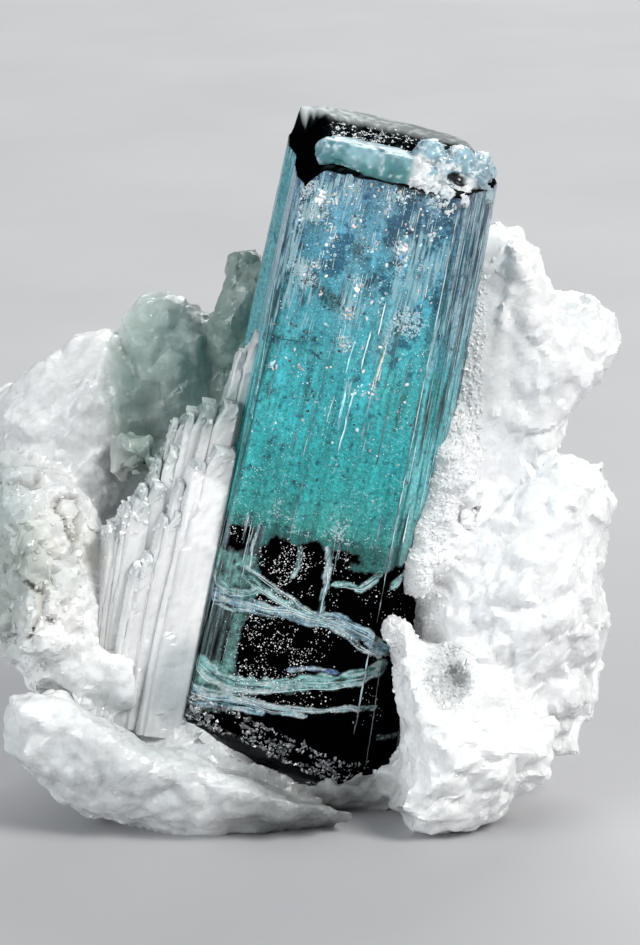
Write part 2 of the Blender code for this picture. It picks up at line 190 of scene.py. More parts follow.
# %% Ledges
def ledges(points, way, spacing, seed):
    """Saw teeth across one direction, bent a little, that fade in and out."""
    way = np.array(way) / np.linalg.norm(way)
    bend = clouds(points, 4.0, seed, 3) - 0.5
    share = np.mod((points @ way + 2.0 * bend) / spacing, 1.0) - 0.5
    return share * smooth_step(0.42, 0.58, clouds(points, 5.0, seed + 5, 2))


# %% [markdown]
# ## Meshes
#
# A mesh is made from two whole arrays, its points and its faces. Each becomes a piece that
# rides on the part and says which kind of surface it has.


# %% Meshes from whole arrays
def mesh_from(name, points, faces, smooth=True, crease=None):
    """points in millimetres; faces is an array with 3 or 4 columns."""
    faces = np.asarray(faces, dtype=np.int32)
    mesh = bpy.data.meshes.new(name)
    mesh.vertices.add(len(points))
    mesh.vertices.foreach_set("co", (np.asarray(points) * MM).astype(np.float32).ravel())
    count, sides = faces.shape
    mesh.loops.add(count * sides)
    mesh.loops.foreach_set("vertex_index", faces.ravel())
    mesh.polygons.add(count)
    mesh.polygons.foreach_set("loop_start", np.arange(0, count * sides, sides, dtype=np.int32))
    mesh.polygons.foreach_set("use_smooth", np.full(count, smooth))
    mesh.update(calc_edges=True)
    mesh.validate()
    if crease is not None:
        mesh.set_sharp_from_angle(angle=math.radians(crease))
    return mesh


def added(name, data):
    """A new object in the scene."""
    obj = bpy.data.objects.new(name, data)
    bpy.context.scene.collection.objects.link(obj)
    return obj


def piece(name, mesh, material):
    """A piece of the dressed part: it rides on the part's body."""
    obj = added(name, mesh)
    mesh.materials.append(material)
    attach(obj, "root")
    print(f"{name}: {len(mesh.polygons)} faces")
    return obj


def store_colours(mesh, colours, alpha=1.0, name="Tint"):
    """Writes linear colours, and a fourth value, to the mesh's points."""
    layer = mesh.color_attributes.new(name, "FLOAT_COLOR", "POINT")
    rgba = np.ones((len(colours), 4), dtype=np.float32)
    rgba[:, :3] = np.clip(colours, 0.0, 1.0)
    rgba[:, 3] = alpha
    layer.data.foreach_set("color", rgba.ravel())


def grid_faces(rows, columns, closed):
    """Quads of a grid whose points are stored row by row; closed joins its sides."""
    across = np.arange(columns if closed else columns - 1)
    upward = np.arange(rows - 1)[:, None] * columns
    low, right = upward + across, upward + (across + 1) % columns
    return np.stack([low, right, right + columns, low + columns], axis=-1).reshape(-1, 4)


def halved(quads):
    """Each quad as two triangles."""
    return np.vstack([quads[:, [0, 1, 2]], quads[:, [0, 2, 3]]])


def tube_faces(rows, columns):
    """Triangles of a closed grid's side and of its two ends."""
    start = np.zeros(columns - 2, int)
    fan = np.column_stack([start, np.arange(1, columns - 1), np.arange(2, columns)])
    far_end = fan + (rows - 1) * columns
    return np.vstack([halved(grid_faces(rows, columns, True)), fan[:, ::-1], far_end])


def joined(parts):
    """Points and faces of many small shapes as one."""
    counts = np.cumsum([0] + [len(points) for points, _ in parts[:-1]])
    faces = [faces + start for (_, faces), start in zip(parts, counts)]
    return np.vstack([points for points, _ in parts]), np.vstack(faces)


def copies(shape, faces, spots, sizes, turns):
    """Many copies of one shape: sizes has three numbers for each."""
    points = np.einsum("nij,nkj->nki", turns, shape[None] * sizes[:, None]) + spots[:, None]
    starts = (np.arange(len(spots)) * len(shape))[:, None, None]
    return points.reshape(-1, 3), (faces[None] + starts).reshape(-1, faces.shape[1])


# %% A mesh with even spacing
def even_mesh(mesh, spacing):
    """Points in millimetres, triangles and point normals of a copy of a mesh, remeshed."""
    copy = added("even copy", mesh.copy())
    remesh = copy.modifiers.new("even", "REMESH")
    remesh.mode = "VOXEL"
    remesh.voxel_size = spacing * MM
    shape = copy.evaluated_get(bpy.context.evaluated_depsgraph_get()).to_mesh()
    shape.calc_loop_triangles()
    points = np.empty(len(shape.vertices) * 3, dtype=np.float32)
    shape.vertices.foreach_get("co", points)
    normals = np.empty(len(shape.vertices) * 3, dtype=np.float32)
    shape.vertices.foreach_get("normal", normals)
    triangles = np.empty(len(shape.loop_triangles) * 3, dtype=np.int32)
    shape.loop_triangles.foreach_get("vertices", triangles)
    bpy.data.objects.remove(copy)
    return points.reshape(-1, 3) / MM, triangles.reshape(-1, 3), normals.reshape(-1, 3)


def relaxed(points, triangles, rounds, share=1.0):
    """Moves each point by a share of the way to the mean of its neighbours."""
    ends = np.vstack([triangles[:, [0, 1]], triangles[:, [1, 2]], triangles[:, [2, 0]]])
    count = np.maximum(np.bincount(ends[:, 0], minlength=len(points)), 1)
    for _ in range(rounds):
        sums = [np.bincount(ends[:, 0], points[ends[:, 1], k], len(points)) for k in range(3)]
        points = points + share * (np.stack(sums, axis=1) / count[:, None] - points)
    return points


# %% [markdown]
# ## The crystal's own coordinates
#
# A prism is easiest to describe in its own directions: u to the right, v to the back and w
# along its axis. A point of its side is then given by two numbers, like a label round a
# bottle: s, the way round the section from its front left edge, and w, the height.

# %% Axis, section and the way round it
SECTION = np.array([
    (-6.1, -6.0), (4.25, -6.1), (5.1, -5.3), (5.9, -4.1), (6.6, -2.6), (7.0, -0.8),
    (6.8, 1.6), (5.9, 4.0), (4.2, 5.6), (1.0, 6.6), (-2.6, 6.9), (-5.2, 6.3),
    (-6.9, 4.9), (-7.4, 3.4), (-7.4, 1.5), (-6.8, 0.5), (-6.8, -2.4), (-6.6, -4.8),
])  # fmt: skip
# Heights along the axis, and how much wider the right half is at the foot.
PRISM_TOP, LIP_TOP, BLACK_TOP, FLARE = 46.3, 47.4, 20.3, 0.36
TOURMALINE_IOR, ALBITE_IOR = 1.63, 1.53
foot = np.array([-3.24, 1.36, 0.5])
along = np.array([0.2157, -0.0524, 1.0])
along /= np.linalg.norm(along)
right = np.array([1.0, 0.0, 0.0]) - along * along[0]
right /= np.linalg.norm(right)
back = np.cross(along, right)

corners = np.vstack([SECTION, SECTION[:1]])
side_lengths = np.linalg.norm(np.diff(corners, axis=0), axis=1)
corner_s = np.concatenate([[0.0], np.cumsum(side_lengths)])
GIRTH = corner_s[-1]
side_normals = np.diff(corners, axis=0)[:, ::-1] * (1, -1) / side_lengths[:, None]


def to_world(u, v, w):
    """World points, in millimetres, of the crystal's own u, v and w."""
    return foot + np.outer(u, right) + np.outer(v, back) + np.outer(w, along)


def flared(u, w):
    """Places across the prism, whose right half is wider towards the foot."""
    return np.where(u > 0, u * (1 + FLARE * (1 - w / PRISM_TOP)), u)


def foot_height(u, v):
    """The broken foot slants down to the right and up to the back."""
    return 5.7 - 3.4 * (u + 7.0) / 14.0 + 0.25 * (v + 6.0)


def section_at(s):
    """(u, v) of the section's outline and its outward normal there."""
    s = np.mod(s, GIRTH)
    u = np.interp(s, corner_s, corners[:, 0])
    v = np.interp(s, corner_s, corners[:, 1])
    side = np.clip(np.searchsorted(corner_s, s, side="right") - 1, 0, len(SECTION) - 1)
    return u, v, side_normals[side]


def on_crystal(s, w, lift=0.0):
    """World points on the prism's side, lift millimetres off it."""
    u, v, normal = section_at(s)
    u = flared(u, w)
    return to_world(u + normal[:, 0] * lift, v + normal[:, 1] * lift, w)


print("girth of the prism", round(GIRTH, 1), "mm")

# %% [markdown]
# ## Colour along the prism
#
# The tourmaline's colour follows its height: iron gives the blue cap and the teal middle,
# and so much of it went into the foot that hardly any light comes through. The border of
# the black part is ragged. Pale bands cross it where the crystal cracked while it grew and
# healed with fibres, and they leave black windows between them.

# %% Heights of the colours, the black windows and the healed cracks
# Height, then linear red, green and blue.
STOPS = np.array([
    (0.0, 0.055, 0.36, 0.34), (20.3, 0.050, 0.36, 0.33), (21.5, 0.060, 0.48, 0.45),
    (24.0, 0.040, 0.60, 0.60), (28.0, 0.042, 0.62, 0.66), (33.0, 0.070, 0.58, 0.66),
    (37.0, 0.090, 0.47, 0.59), (41.0, 0.100, 0.40, 0.55), (44.0, 0.110, 0.35, 0.52),
    (45.3, 0.140, 0.28, 0.42), (46.2, 0.100, 0.16, 0.27), (48.0, 0.100, 0.15, 0.24),
])  # fmt: skip
# Outlines in (s, w). They overshoot where the window goes on round the side or down.
WINDOWS = [
    [(2.4, 18.9), (2.9, 19.7), (3.85, 20.1), (4.8, 19.5), (5.3, 19.9), (6.3, 20.2), (6.8, 19.7),
     (8.1, 20.0), (8.7, 19.8), (8.8, 19.2), (8.1, 18.7), (9.3, 18.6), (10.2, 18.8), (11.1, 19.4),
     (12.0, 19.6), (13.7, 19.5), (30.0, 20.5), (30.0, -2.0), (-3.0, -2.0), (-3.0, 5.0), (0.6, 5.9),
     (2.0, 6.3), (3.0, 7.2), (2.6, 8.3), (2.5, 10.0), (2.35, 12.0), (2.4, 12.8), (2.6, 14.2),
     (2.9, 15.6), (2.9, 16.8), (2.5, 17.8)],
    [(0.1, 20.2), (1.5, 20.3), (1.8, 18.9), (0.9, 18.3), (0.1, 18.6)],
    [(-20.0, 19.5), (-4.5, 18.5), (-3.6, 10.0), (-3.2, -2.0), (-20.0, -2.0)],
]  # fmt: skip
BLUE, TEAL, PALE = (0.40, 0.64, 0.82), (0.34, 0.70, 0.68), (0.60, 0.84, 0.90)
# Each healed crack: its path in (s, w), its width and its colour.
BANDS = [
    ([(0.1, 14.8), (2.3, 14.6), (4.1, 14.4), (5.5, 14.7), (6.6, 14.5), (7.5, 14.6), (8.7, 14.3),
      (10.0, 13.9), (11.2, 13.2), (12.0, 12.9)], 0.85, BLUE),
    ([(1.3, 17.1), (3.0, 16.0), (4.9, 15.3), (6.3, 14.9), (7.3, 14.7)], 0.6, TEAL),
    ([(1.8, 17.3), (3.6, 16.4), (5.4, 15.6), (6.5, 15.0), (7.6, 14.6)], 0.28, PALE),
    ([(7.2, 15.0), (8.1, 15.2), (9.0, 14.7), (9.9, 14.5), (11.0, 13.8)], 0.42, BLUE),
    ([(8.0, 14.4), (8.9, 13.8), (9.8, 13.1), (11.2, 12.6)], 0.34, PALE),
    ([(-0.9, 16.2), (0.05, 15.8), (1.05, 15.35), (2.3, 15.4), (3.0, 15.9)], 0.45, TEAL),
    ([(0.3, 14.1), (1.4, 14.0), (2.6, 14.2)], 0.2, BLUE),
    ([(0.1, 9.7), (1.2, 9.0), (2.7, 8.65), (4.7, 8.9), (6.3, 9.3), (7.5, 9.9), (8.6, 10.1),
      (9.6, 10.7), (10.6, 11.3), (11.5, 11.6)], 0.98, TEAL),
    ([(-0.5, 9.6), (0.6, 8.7), (2.2, 8.1), (3.4, 8.2), (4.8, 8.4), (6.2, 8.8)], 0.3, PALE),
    ([(6.3, 10.45), (7.0, 10.8), (7.9, 10.95), (8.7, 10.9)], 0.36, (0.16, 0.26, 0.52)),
    ([(-0.6, 8.0), (1.1, 7.6), (3.3, 8.0), (4.3, 7.7), (5.5, 7.5), (6.9, 7.6), (8.4, 7.9),
      (9.0, 8.2), (9.9, 8.6), (11.7, 8.6)], 0.36, PALE),
    ([(-1.2, 7.6), (1.3, 7.3), (3.7, 7.5), (5.6, 7.2), (7.4, 7.35)], 0.5, BLUE),
    ([(-1.4, 6.6), (0.8, 6.7), (2.9, 6.9), (5.0, 6.9)], 0.42, BLUE),
    ([(12.6, 6.1), (14.5, 5.7), (16.4, 5.2)], 0.3, PALE),
    ([(6.9, 19.8), (7.2, 17.6), (7.2, 16.1), (7.2, 14.8)], 0.34, (0.13, 0.24, 0.27)),
    ([(5.1, 19.4), (5.3, 18.0), (5.0, 17.3)], 0.26, (0.12, 0.26, 0.26)),
    ([(7.8, 17.3), (8.5, 17.6), (9.1, 17.3), (9.7, 18.2), (10.1, 18.7)], 0.42, TEAL),
    ([(11.2, 18.0), (12.0, 18.5), (13.3, 19.0)], 0.6, TEAL),
    ([(2.1, 20.5), (1.95, 18.8), (2.05, 17.3)], 0.16, PALE),
]  # fmt: skip

# Clusters of painted glints: place (s, w), half width, half height and strength.
CLUSTERS = [
    (1.3, 44.0, 0.9, 1.3, 1.0), (1.5, 42.6, 0.7, 0.9, 0.8), (2.3, 44.2, 0.5, 0.7, 0.7),
    (3.4, 45.2, 0.6, 0.5, 0.6), (5.8, 44.9, 0.5, 0.8, 0.8), (6.6, 45.0, 0.5, 0.7, 0.8),
    (7.4, 43.4, 0.5, 0.6, 0.6), (9.0, 43.0, 0.6, 0.6, 0.7), (7.2, 41.7, 0.8, 0.9, 1.0),
    (2.0, 39.4, 0.8, 0.5, 0.7), (2.6, 41.4, 0.7, 0.7, 0.7), (5.5, 38.5, 0.7, 0.5, 0.5),
    (4.7, 36.4, 0.8, 0.9, 0.8), (4.9, 34.4, 0.7, 0.8, 0.8), (5.5, 41.4, 0.7, 0.7, 0.7),
    (3.9, 42.9, 0.6, 0.8, 0.7), (7.6, 35.2, 0.3, 1.6, 0.9), (7.5, 32.0, 0.25, 1.4, 0.9),
    (8.9, 38.5, 0.4, 1.6, 0.5), (0.4, 42.3, 0.4, 0.9, 0.6),
]  # fmt: skip


# %% Measures on the side: off a path, inside an outline, in a cluster
def in_front(s):
    """The way round, counted so that the front left edge is at 0 from either side."""
    return np.where(s > GIRTH / 2 + 5, s - GIRTH, s)


def glow_of(cluster, s, w):
    """The strength of a cluster at each (s, w), falling off smoothly from its middle."""
    s0, w0, wide, high, strength = cluster
    return strength * np.exp(-((s - s0) / wide) ** 2 - ((w - w0) / high) ** 2)


def beside(s, w, path):
    """How far each (s, w) lies above a path, negative below, and how far along it."""
    spots, path = np.column_stack([s, w]), np.asarray(path, dtype=float)
    nearest, gone = np.full(len(spots), 1e9), 0.0
    above, far = np.zeros(len(spots)), np.zeros(len(spots))
    for start, way in zip(path[:-1], np.diff(path, axis=0)):
        share = np.clip(((spots - start) @ way) / (way @ way), 0, 1)
        gap = spots - start - share[:, None] * way
        distance = np.hypot(gap[:, 0], gap[:, 1])
        nearer = distance < nearest
        side = np.where(way[0] * gap[:, 1] - way[1] * gap[:, 0] < 0, -1.0, 1.0)
        nearest = np.where(nearer, distance, nearest)
        above = np.where(nearer, distance * side, above)
        far = np.where(nearer, gone + share * np.hypot(*way), far)
        gone += np.hypot(*way)
    return above, far


def off_lines(s, w, lines):
    """The distance of each (s, w) from the nearest of some paths."""
    return np.min([np.abs(beside(s, w, line)[0]) for line in lines], axis=0)


def inside(s, w, polygon):
    """True within a closed outline, by counting the sides that a ray to the right meets."""
    hits = np.zeros(len(s), dtype=int)
    polygon = np.asarray(polygon)
    for (s0, w0), (s1, w1) in zip(polygon, np.roll(polygon, -1, axis=0)):
        spans = (w0 > w) != (w1 > w)
        cross = s0 + (w - w0) * (s1 - s0) / (w1 - w0 + 1e-12)
        hits += spans & (s < cross)
    return hits % 2 == 1


def darkness(s, w):
    """1 in the black windows and 0 outside them, with ragged edges."""
    spots = flat(s, w)
    rag = 0.5 * (clouds(spots, 0.55, 9, 3) - 0.5) + 0.22 * (value_noise(spots / 0.13, 11) - 0.5)
    dark = np.zeros(len(s))
    for window in WINDOWS:
        rim = off_lines(s, w, [window + window[:1]])
        signed = np.where(inside(s, w, window), rim, -rim)
        dark = np.maximum(dark, smooth_step(-0.1, 0.1, signed + rag))
    return dark


def mixed(colour, share, other):
    """A colour, or one for each point, turned by a share into another."""
    share = np.clip(share, 0, 1)[:, None]
    return np.asarray(colour) * (1 - share) + np.asarray(other) * share


BLACK = (0.0004, 0.0005, 0.0006)


# %% The blue and teal part
VEIL = [[(9.3, 40.4), (8.2, 39.4), (7.9, 36.6), (7.4, 34.6)]]
FLAWS = [
    [(1.4, 38.3), (2.7, 37.9), (3.4, 37.1), (3.9, 37.2)],
    [(5.7, 39.3), (6.2, 39.8)], [(4.3, 41.0), (5.0, 40.2)],
]  # fmt: skip
SHADOWS = [[(3.0, 31.1), (3.5, 30.2)], [(0.6, 30.2), (0.8, 29.9)], [(0.0, 33.8), (2.8, 34.0)]]


def clear_part(s, w, spots, wander, fine, cap):
    """The colours by height, uneven and cloudy, with veils and dim patches in the blue, and painted light
    round the clusters of glints.
    """
    height = w + 2.0 * wander
    colour = np.stack([np.interp(height, STOPS[:, 0], STOPS[:, k]) for k in (1, 2, 3)], axis=1)
    broad = clouds(spots * (1.0, 0.55, 1.0), 3.0, 27, 3) - 0.5
    colour *= (1 + 0.9 * broad * smooth_step(19, 22, w))[:, None]
    colour = mixed(colour, 0.5 * smooth_step(0.05, 0.25, broad) * (1 - cap), (0.07, 0.46, 0.41))
    # Pale patches round each cluster of glints: painted light.
    for cluster in CLUSTERS:
        near = glow_of(cluster, s, w)
        colour = mixed(colour, 0.45 * near * (1 + 2.5 * fine), (0.30, 0.58, 0.70))
    veil = smooth_step(0.52, 0.7, clouds(spots * (1.0, 0.6, 1.0), 1.4, 33)) * cap
    one_veil = smooth_step(1.1, 0.2, off_lines(s, w, VEIL) + 1.2 * fine)
    colour = mixed(colour, 0.5 * np.maximum(0.8 * veil, one_veil), (0.30, 0.46, 0.53))
    dim = smooth_step(0.55, 0.72, clouds(spots * (1.0, 0.8, 1.0), 0.9, 40)) * cap
    dim = np.maximum(0.6 * dim, smooth_step(0.7, 0.1, off_lines(s, w, FLAWS) + 1.2 * fine))
    shadow = smooth_step(0.55, 0.05, off_lines(s, w, SHADOWS) + 0.8 * fine)
    return colour * (1 - 0.62 * np.maximum(dim, 0.7 * shadow))[:, None]


# %% The dark foot and its healed cracks
def dark_part(colour, s, w, fine, streak, lines, dark):
    """The smoky left edge of the foot, green in places, and the black windows."""
    top = np.interp(s, (-9, -1, 2.2, 2.5, 30), (20, 20.0, BLACK_TOP, BLACK_TOP, 20.6))
    smoke = smooth_step(0.25, -0.25, w - top + 1.2 * fine) * smooth_step(2.7, 2.3, s + 0.5 * fine)
    light = np.clip(0.6 + 2.6 * lines + 1.6 * streak, 0.05, 2.2)[:, None]
    colour = mixed(colour, smoke, np.array([0.13, 0.19, 0.20]) * light)
    upper = smooth_step(0.0, 0.4, 2.6 - np.abs(w - 16.6) * 1.6 + fine)
    lower = smooth_step(0.0, 0.5, 1.9 - np.abs(w - 8.8) * 1.5 + fine)
    seam = smooth_step(0.55, 0.2, np.abs(s - 2.0) + 0.8 * fine) * (w > 9) * (w < 18)
    green = smoke * np.max([upper, seam, lower], axis=0)
    speckle = np.clip(1 + 3.2 * fine, 0.15, 2.5)[:, None]
    colour = mixed(colour, 0.8 * green, np.array([0.20, 0.44, 0.39]) * speckle)
    fall = 0.5 * smooth_step(0.8, 0.1, w - 20.2 + 1.6 * fine) * (1 - smoke)
    return mixed(colour * (1 - fall)[:, None], dark, BLACK)


def healed(colour, s, w, fine):
    """The healed cracks: strands of fibres, with painted highlights along their rims and on the brightest
    fibres.
    """
    for number, (path, width, shade) in enumerate(BANDS):
        above, far = beside(s, w, path)
        here = flat(far + 31 * number)
        sway = 0.26 * (clouds(here, 0.8, 211, 3) - 0.5)
        half = 0.5 * width * (0.5 + 0.95 * clouds(here, 0.5, 213, 3))
        reach = np.abs(above + sway) / half
        threads = np.column_stack([0.16 * far + 7 * number, above, 0.1 * far])
        fibre = clouds(threads, 0.19, 217, 3)
        # Brighter towards the rims: a painted highlight.
        rim = 0.75 + 0.5 * smooth_step(0.5, 0.95, reach)
        glow = np.clip(0.12 + 3.8 * (fibre - 0.31), 0.06, 2.4) * rim
        glow *= 0.9 + 1.8 * clouds(flat(far + 13 * number, 1.6 * above), 0.42, 219, 3)
        body = smooth_step(1.1, 0.85, reach + 0.4 * fine)
        body = body * (0.7 + 0.3 * smooth_step(0.3, 0.5, fibre))
        strand = np.array(shade) * glow[:, None]
        # The brightest fibres turn near white: a painted highlight.
        strand = mixed(strand, smooth_step(0.50, 0.66, fibre), (0.80, 0.96, 1.0))
        colour = mixed(colour, body, strand)
    return colour


# %% Lines along the prism, and the whole colour of its side
# Paths of the painted shadow in the crevices under the rim bar.
SHADE_UNDER_BAR = [[(3.3, 46.4), (4.7, 46.3)], [(5.6, 46.2), (6.9, 46.0), (8.8, 45.8)]]


def lined(colour, s, streak, lines, cap, dark):
    """Painted highlights and painted shade of the striae: pale and dark lines on the bevelled edges, faint
    ones elsewhere.
    """
    right_bevel = smooth_step(10.1, 10.5, s) * smooth_step(19, 16, s)
    bevel = np.maximum(right_bevel, 0.8 * smooth_step(0.5, -0.2, s))
    strength = 0.45 + 1.5 * bevel
    colour = colour * np.clip(1 + strength * (1.8 * streak + 0.8 * lines), 0.12, 2.6)[:, None]
    pale = bevel * smooth_step(0.0, 0.08, streak + 0.2 * lines) * (0.45 + 0.55 * cap) * (1 - dark)
    colour = mixed(colour, 0.85 * pale, (0.62, 0.76, 0.86))
    deep = bevel * smooth_step(0.10, 0.22, lines - 0.4 * streak) * (0.3 + 0.7 * cap) * (1 - dark)
    return mixed(colour, 0.7 * deep, (0.03, 0.07, 0.13))


def crystal_colour(s, w):
    """Linear colour of the prism's side at (s, w)."""
    s = in_front(s)
    spots = flat(s, w)
    wander = clouds(spots, 2.2, 3) - 0.5
    fine = clouds(spots, 0.45, 9, 3) - 0.5
    streak = clouds(spots * (1.0, 0.07, 1.0), 0.36, 21) - 0.5
    lines = value_noise(spots * (7.5, 0.35, 1.0), 23) - 0.5
    cap = smooth_step(31.0, 40.0, w)
    dark = darkness(s, w)
    colour = clear_part(s, w, spots, wander, fine, cap)
    colour = dark_part(colour, s, w, fine, streak, lines, dark)
    colour = healed(colour, s, w, fine)

    # Painted shadow in the crevices under the bar, the lines, the teal rib, which is painted lighter
    # because it faces away from the light, and the black wall of the chip.
    gap = off_lines(s, w, SHADE_UNDER_BAR) + 0.5 * fine
    colour = mixed(colour, smooth_step(0.42, 0.12, gap), (0.006, 0.008, 0.014))
    colour = lined(colour, s, streak, lines, cap, dark)
    rib = smooth_step(-5.2, -5.8, s) * smooth_step(-11.4, -10.8, s)
    colour = mixed(colour, 0.85 * rib * smooth_step(20, 28, w), (0.20, 0.60, 0.66))
    chipped = smooth_step(-2.2, -3.2, s) * smooth_step(-12.5, -10.5, s)
    return mixed(colour, smooth_step(44.9, 45.4, w + 1.6 * wander) * chipped, BLACK)


# %% [markdown]
# ## The prism
#
# The side is a grid of points. Its columns are close together in front and its rows close
# together at the foot, where the small markings are. Striae are shallow grooves. Each has
# its own place, width, depth and the heights between which it runs, because striae come
# and go as the crystal grows. The grid goes on over the top and under the foot in rings.

# %% The columns of the side, and how deep it is cut
rng = np.random.default_rng(7)
GROOVES = 120
NEAR_CORNER = 0.05  # A column on each side of a corner keeps it sharp.
ring_s = np.concatenate([
    np.arange(0, 12.4, 0.08), np.arange(12.4, 18, 0.13), np.arange(18, GIRTH - 9, 0.34),
    np.arange(GIRTH - 9, GIRTH - 2, 0.2), np.arange(GIRTH - 2, GIRTH, 0.08),
    corner_s[:-1] + NEAR_CORNER, corner_s[1:] - NEAR_CORNER,
])  # fmt: skip
ring_s = np.unique(np.round(ring_s, 3))
columns = len(ring_s)
ring_u, ring_v, ring_normal = section_at(ring_s)


def groove_depth(s, w):
    """How far the striae and the small dents cut into the side, in millimetres. Striae on
    the front face are shallower than on the others."""
    depth = np.zeros_like(s)
    for _ in range(GROOVES):
        middle, width = rng.uniform(0, GIRTH), rng.uniform(0.12, 0.34)
        low, length = rng.uniform(-6, 40), rng.uniform(8, 40)
        gap = np.abs(np.mod(s - middle + GIRTH / 2, GIRTH) - GIRTH / 2)
        runs = smooth_step(0, 1.5, w - low) * smooth_step(0, 2.5, low + length - w)
        deepest = rng.uniform(0.02, 0.09) * (0.35 if 0.8 < middle < 9.8 else 1.0)
        depth = np.maximum(depth, deepest * runs * smooth_step(width, 0, gap))
    spots = flat(s, w)
    dents = smooth_step(0.66, 0.8, clouds(spots * (1.0, 0.5, 1.0), 0.8, 51))
    fine = clouds(spots * (1.0, 0.12, 1.0), 0.3, 57)
    return depth + 0.05 * dents + 0.02 * fine


def top_height(u, v):
    """The basal face: it climbs to a low lip along the back, and a chip is out of its left."""
    spots = flat(u, v)
    rag = clouds(spots, 1.5, 61) - 0.5
    climb = 0.82 * smooth_step(-1.6, 3.7, v + 0.6 * rag)
    climb += 0.26 * smooth_step(3.8, 4.15, v + 0.5 * rag)
    climb *= smooth_step(6.5, 4.6, u)
    planes, _ = grain_planes(spots, 1.1, 67)
    rough = 0.12 * planes + 0.08 * (clouds(spots, 0.4, 63, 3) - 0.5)
    height = PRISM_TOP + climb * (0.97 + 0.1 * rag) + rough * (1 - 0.8 * smooth_step(3.8, 4.2, v))
    chip = smooth_step(-5.0, -6.5, u + 1.0 * rag) * smooth_step(4.7, 4.0, v)
    return height - 0.1 - 1.5 * chip - 0.35 * smooth_step(-5.3, -6.1, v)


# %% The rows of the side
FINE_TOP = 21.0  # Below this height the rows are close together.
fine_rows = np.linspace(0, 1, 186)[:-1]
coarse_rows = np.linspace(0, 1, 56)
ring_foot = foot_height(flared(ring_u, 3.0), ring_v)
ring_foot += 0.6 * (clouds(flat(ring_s), 0.8, 71) - 0.2)
ring_top = top_height(ring_u * 0.99, ring_v * 0.99) - 0.04
side_w = np.vstack([
    ring_foot + (FINE_TOP - ring_foot) * fine_rows[:, None],
    FINE_TOP + (ring_top - FINE_TOP) * coarse_rows[:, None],
])  # fmt: skip
rows = len(side_w)


def within_side(s, w):
    """Heights kept between the broken foot and the rim of the top."""
    s = np.mod(s, GIRTH)
    low = np.interp(s, ring_s, ring_foot, period=GIRTH)
    return np.clip(w, low + 0.05, np.interp(s, ring_s, ring_top, period=GIRTH) - 0.05)


side_s = np.broadcast_to(ring_s, side_w.shape)
depth = groove_depth(side_s.ravel(), side_w.ravel()).reshape(side_w.shape)
side_u = flared(np.broadcast_to(ring_u, side_w.shape), side_w) - ring_normal[:, 0] * depth
side_v = ring_v - ring_normal[:, 1] * depth
print("prism side", side_w.shape, "deepest groove", round(float(depth.max()), 2), "mm")

# %% The rings over the top and under the foot
top_shrink = np.concatenate([[0.992], np.linspace(0.98, 0.04, 24)])
foot_shrink = np.concatenate([[0.985], np.linspace(0.95, 0.08, 11)])


def foot_surface(u, v):
    """The broken foot: hackly, with ridges across it."""
    spots = flat(u, v)
    planes, _ = grain_planes(spots, 1.6, 75)
    ridges = clouds(spots * (1.0, 0.5, 1.0), 0.9, 73) - 0.3
    return foot_height(u, v) + 0.5 * planes + 0.8 * ridges


def closing_rings(edge_u, edge_v, shrink, height):
    """Rings that shrink from an edge to its middle, at the heights of a surface."""
    u, v = edge_u * shrink[:, None], edge_v * shrink[:, None]
    return u, v, height(u.ravel(), v.ravel()).reshape(u.shape)


top_u, top_v, top_w = closing_rings(side_u[-1], side_v[-1], top_shrink, top_height)
low_u, low_v, low_w = closing_rings(side_u[0], side_v[0], foot_shrink, foot_surface)
all_u = np.vstack([low_u[::-1], side_u, top_u]).ravel()
all_v = np.vstack([low_v[::-1], side_v, top_v]).ravel()
all_w = np.vstack([low_w[::-1], side_w, top_w]).ravel()
ring_rows = len(foot_shrink) + rows + len(top_shrink)
all_s = np.tile(ring_s, ring_rows)

prism_points = to_world(all_u, all_v, all_w)
prism_faces = grid_faces(ring_rows, columns, closed=True)
middles = to_world(np.zeros(2), np.zeros(2), np.array([foot_height(0, 0), PRISM_TOP - 0.1]))
prism_points = np.vstack([prism_points, middles])
first, last = len(prism_points) - 2, len(prism_points) - 1
here, there = np.arange(columns), (np.arange(columns) + 1) % columns
end_row = (ring_rows - 1) * columns
fans = np.vstack([
    np.column_stack([np.full(columns, first), there, here]),
    np.column_stack([np.full(columns, last), end_row + here, end_row + there]),
])  # fmt: skip
prism_triangles = np.vstack([halved(prism_faces), fans])
prism_mesh = mesh_from("indicolite", prism_points, prism_triangles, crease=24)
print("prism mesh", len(prism_mesh.polygons), "triangles")

# %% Colour and frost of the prism
tint = crystal_colour(all_s, all_w)
on_top = np.repeat(np.arange(ring_rows) >= len(foot_shrink) + rows, columns)
on_foot = np.repeat(np.arange(ring_rows) < len(foot_shrink), columns)
cap_spots = flat(all_u, all_v)
grains = smooth_step(0.5, 0.62, clouds(cap_spots, 0.3, 81, 3))
basal = mixed((0.001, 0.0015, 0.002), 0.04 * grains, (0.30, 0.38, 0.40))
high = np.maximum(smooth_step(46.85, 47.05, all_w), smooth_step(2.0, 4.0, all_u))
on_lip = smooth_step(3.7, 4.2, all_v) * high
lip_grey = (0.30 + 0.16 * smooth_step(1.5, -5.0, all_u)) * (0.7 + 0.5 * grains)
basal = mixed(basal, on_lip, np.array([0.92, 1.0, 1.0]) * lip_grey[:, None])
basal = mixed(basal, on_lip * smooth_step(-6.0, -6.5, all_u), (0.55, 0.60, 0.60))
basal = mixed(basal, smooth_step(-4.6, -5.3, all_u) * smooth_step(4.5, 3.9, all_v), BLACK)
tint[on_top] = basal[on_top]
tint[on_foot] = np.array([0.004, 0.004, 0.005]) + 0.09 * grains[on_foot][:, None] ** 2
tint = np.vstack([tint, tint[:1], basal[-1:]])
frost = np.where(on_top, 0.6 + 0.4 * on_lip, 0.5 * on_foot)
frost = np.concatenate([np.clip(frost, 0, 1), [0.0, 0.0]])
store_colours(prism_mesh, tint, frost)


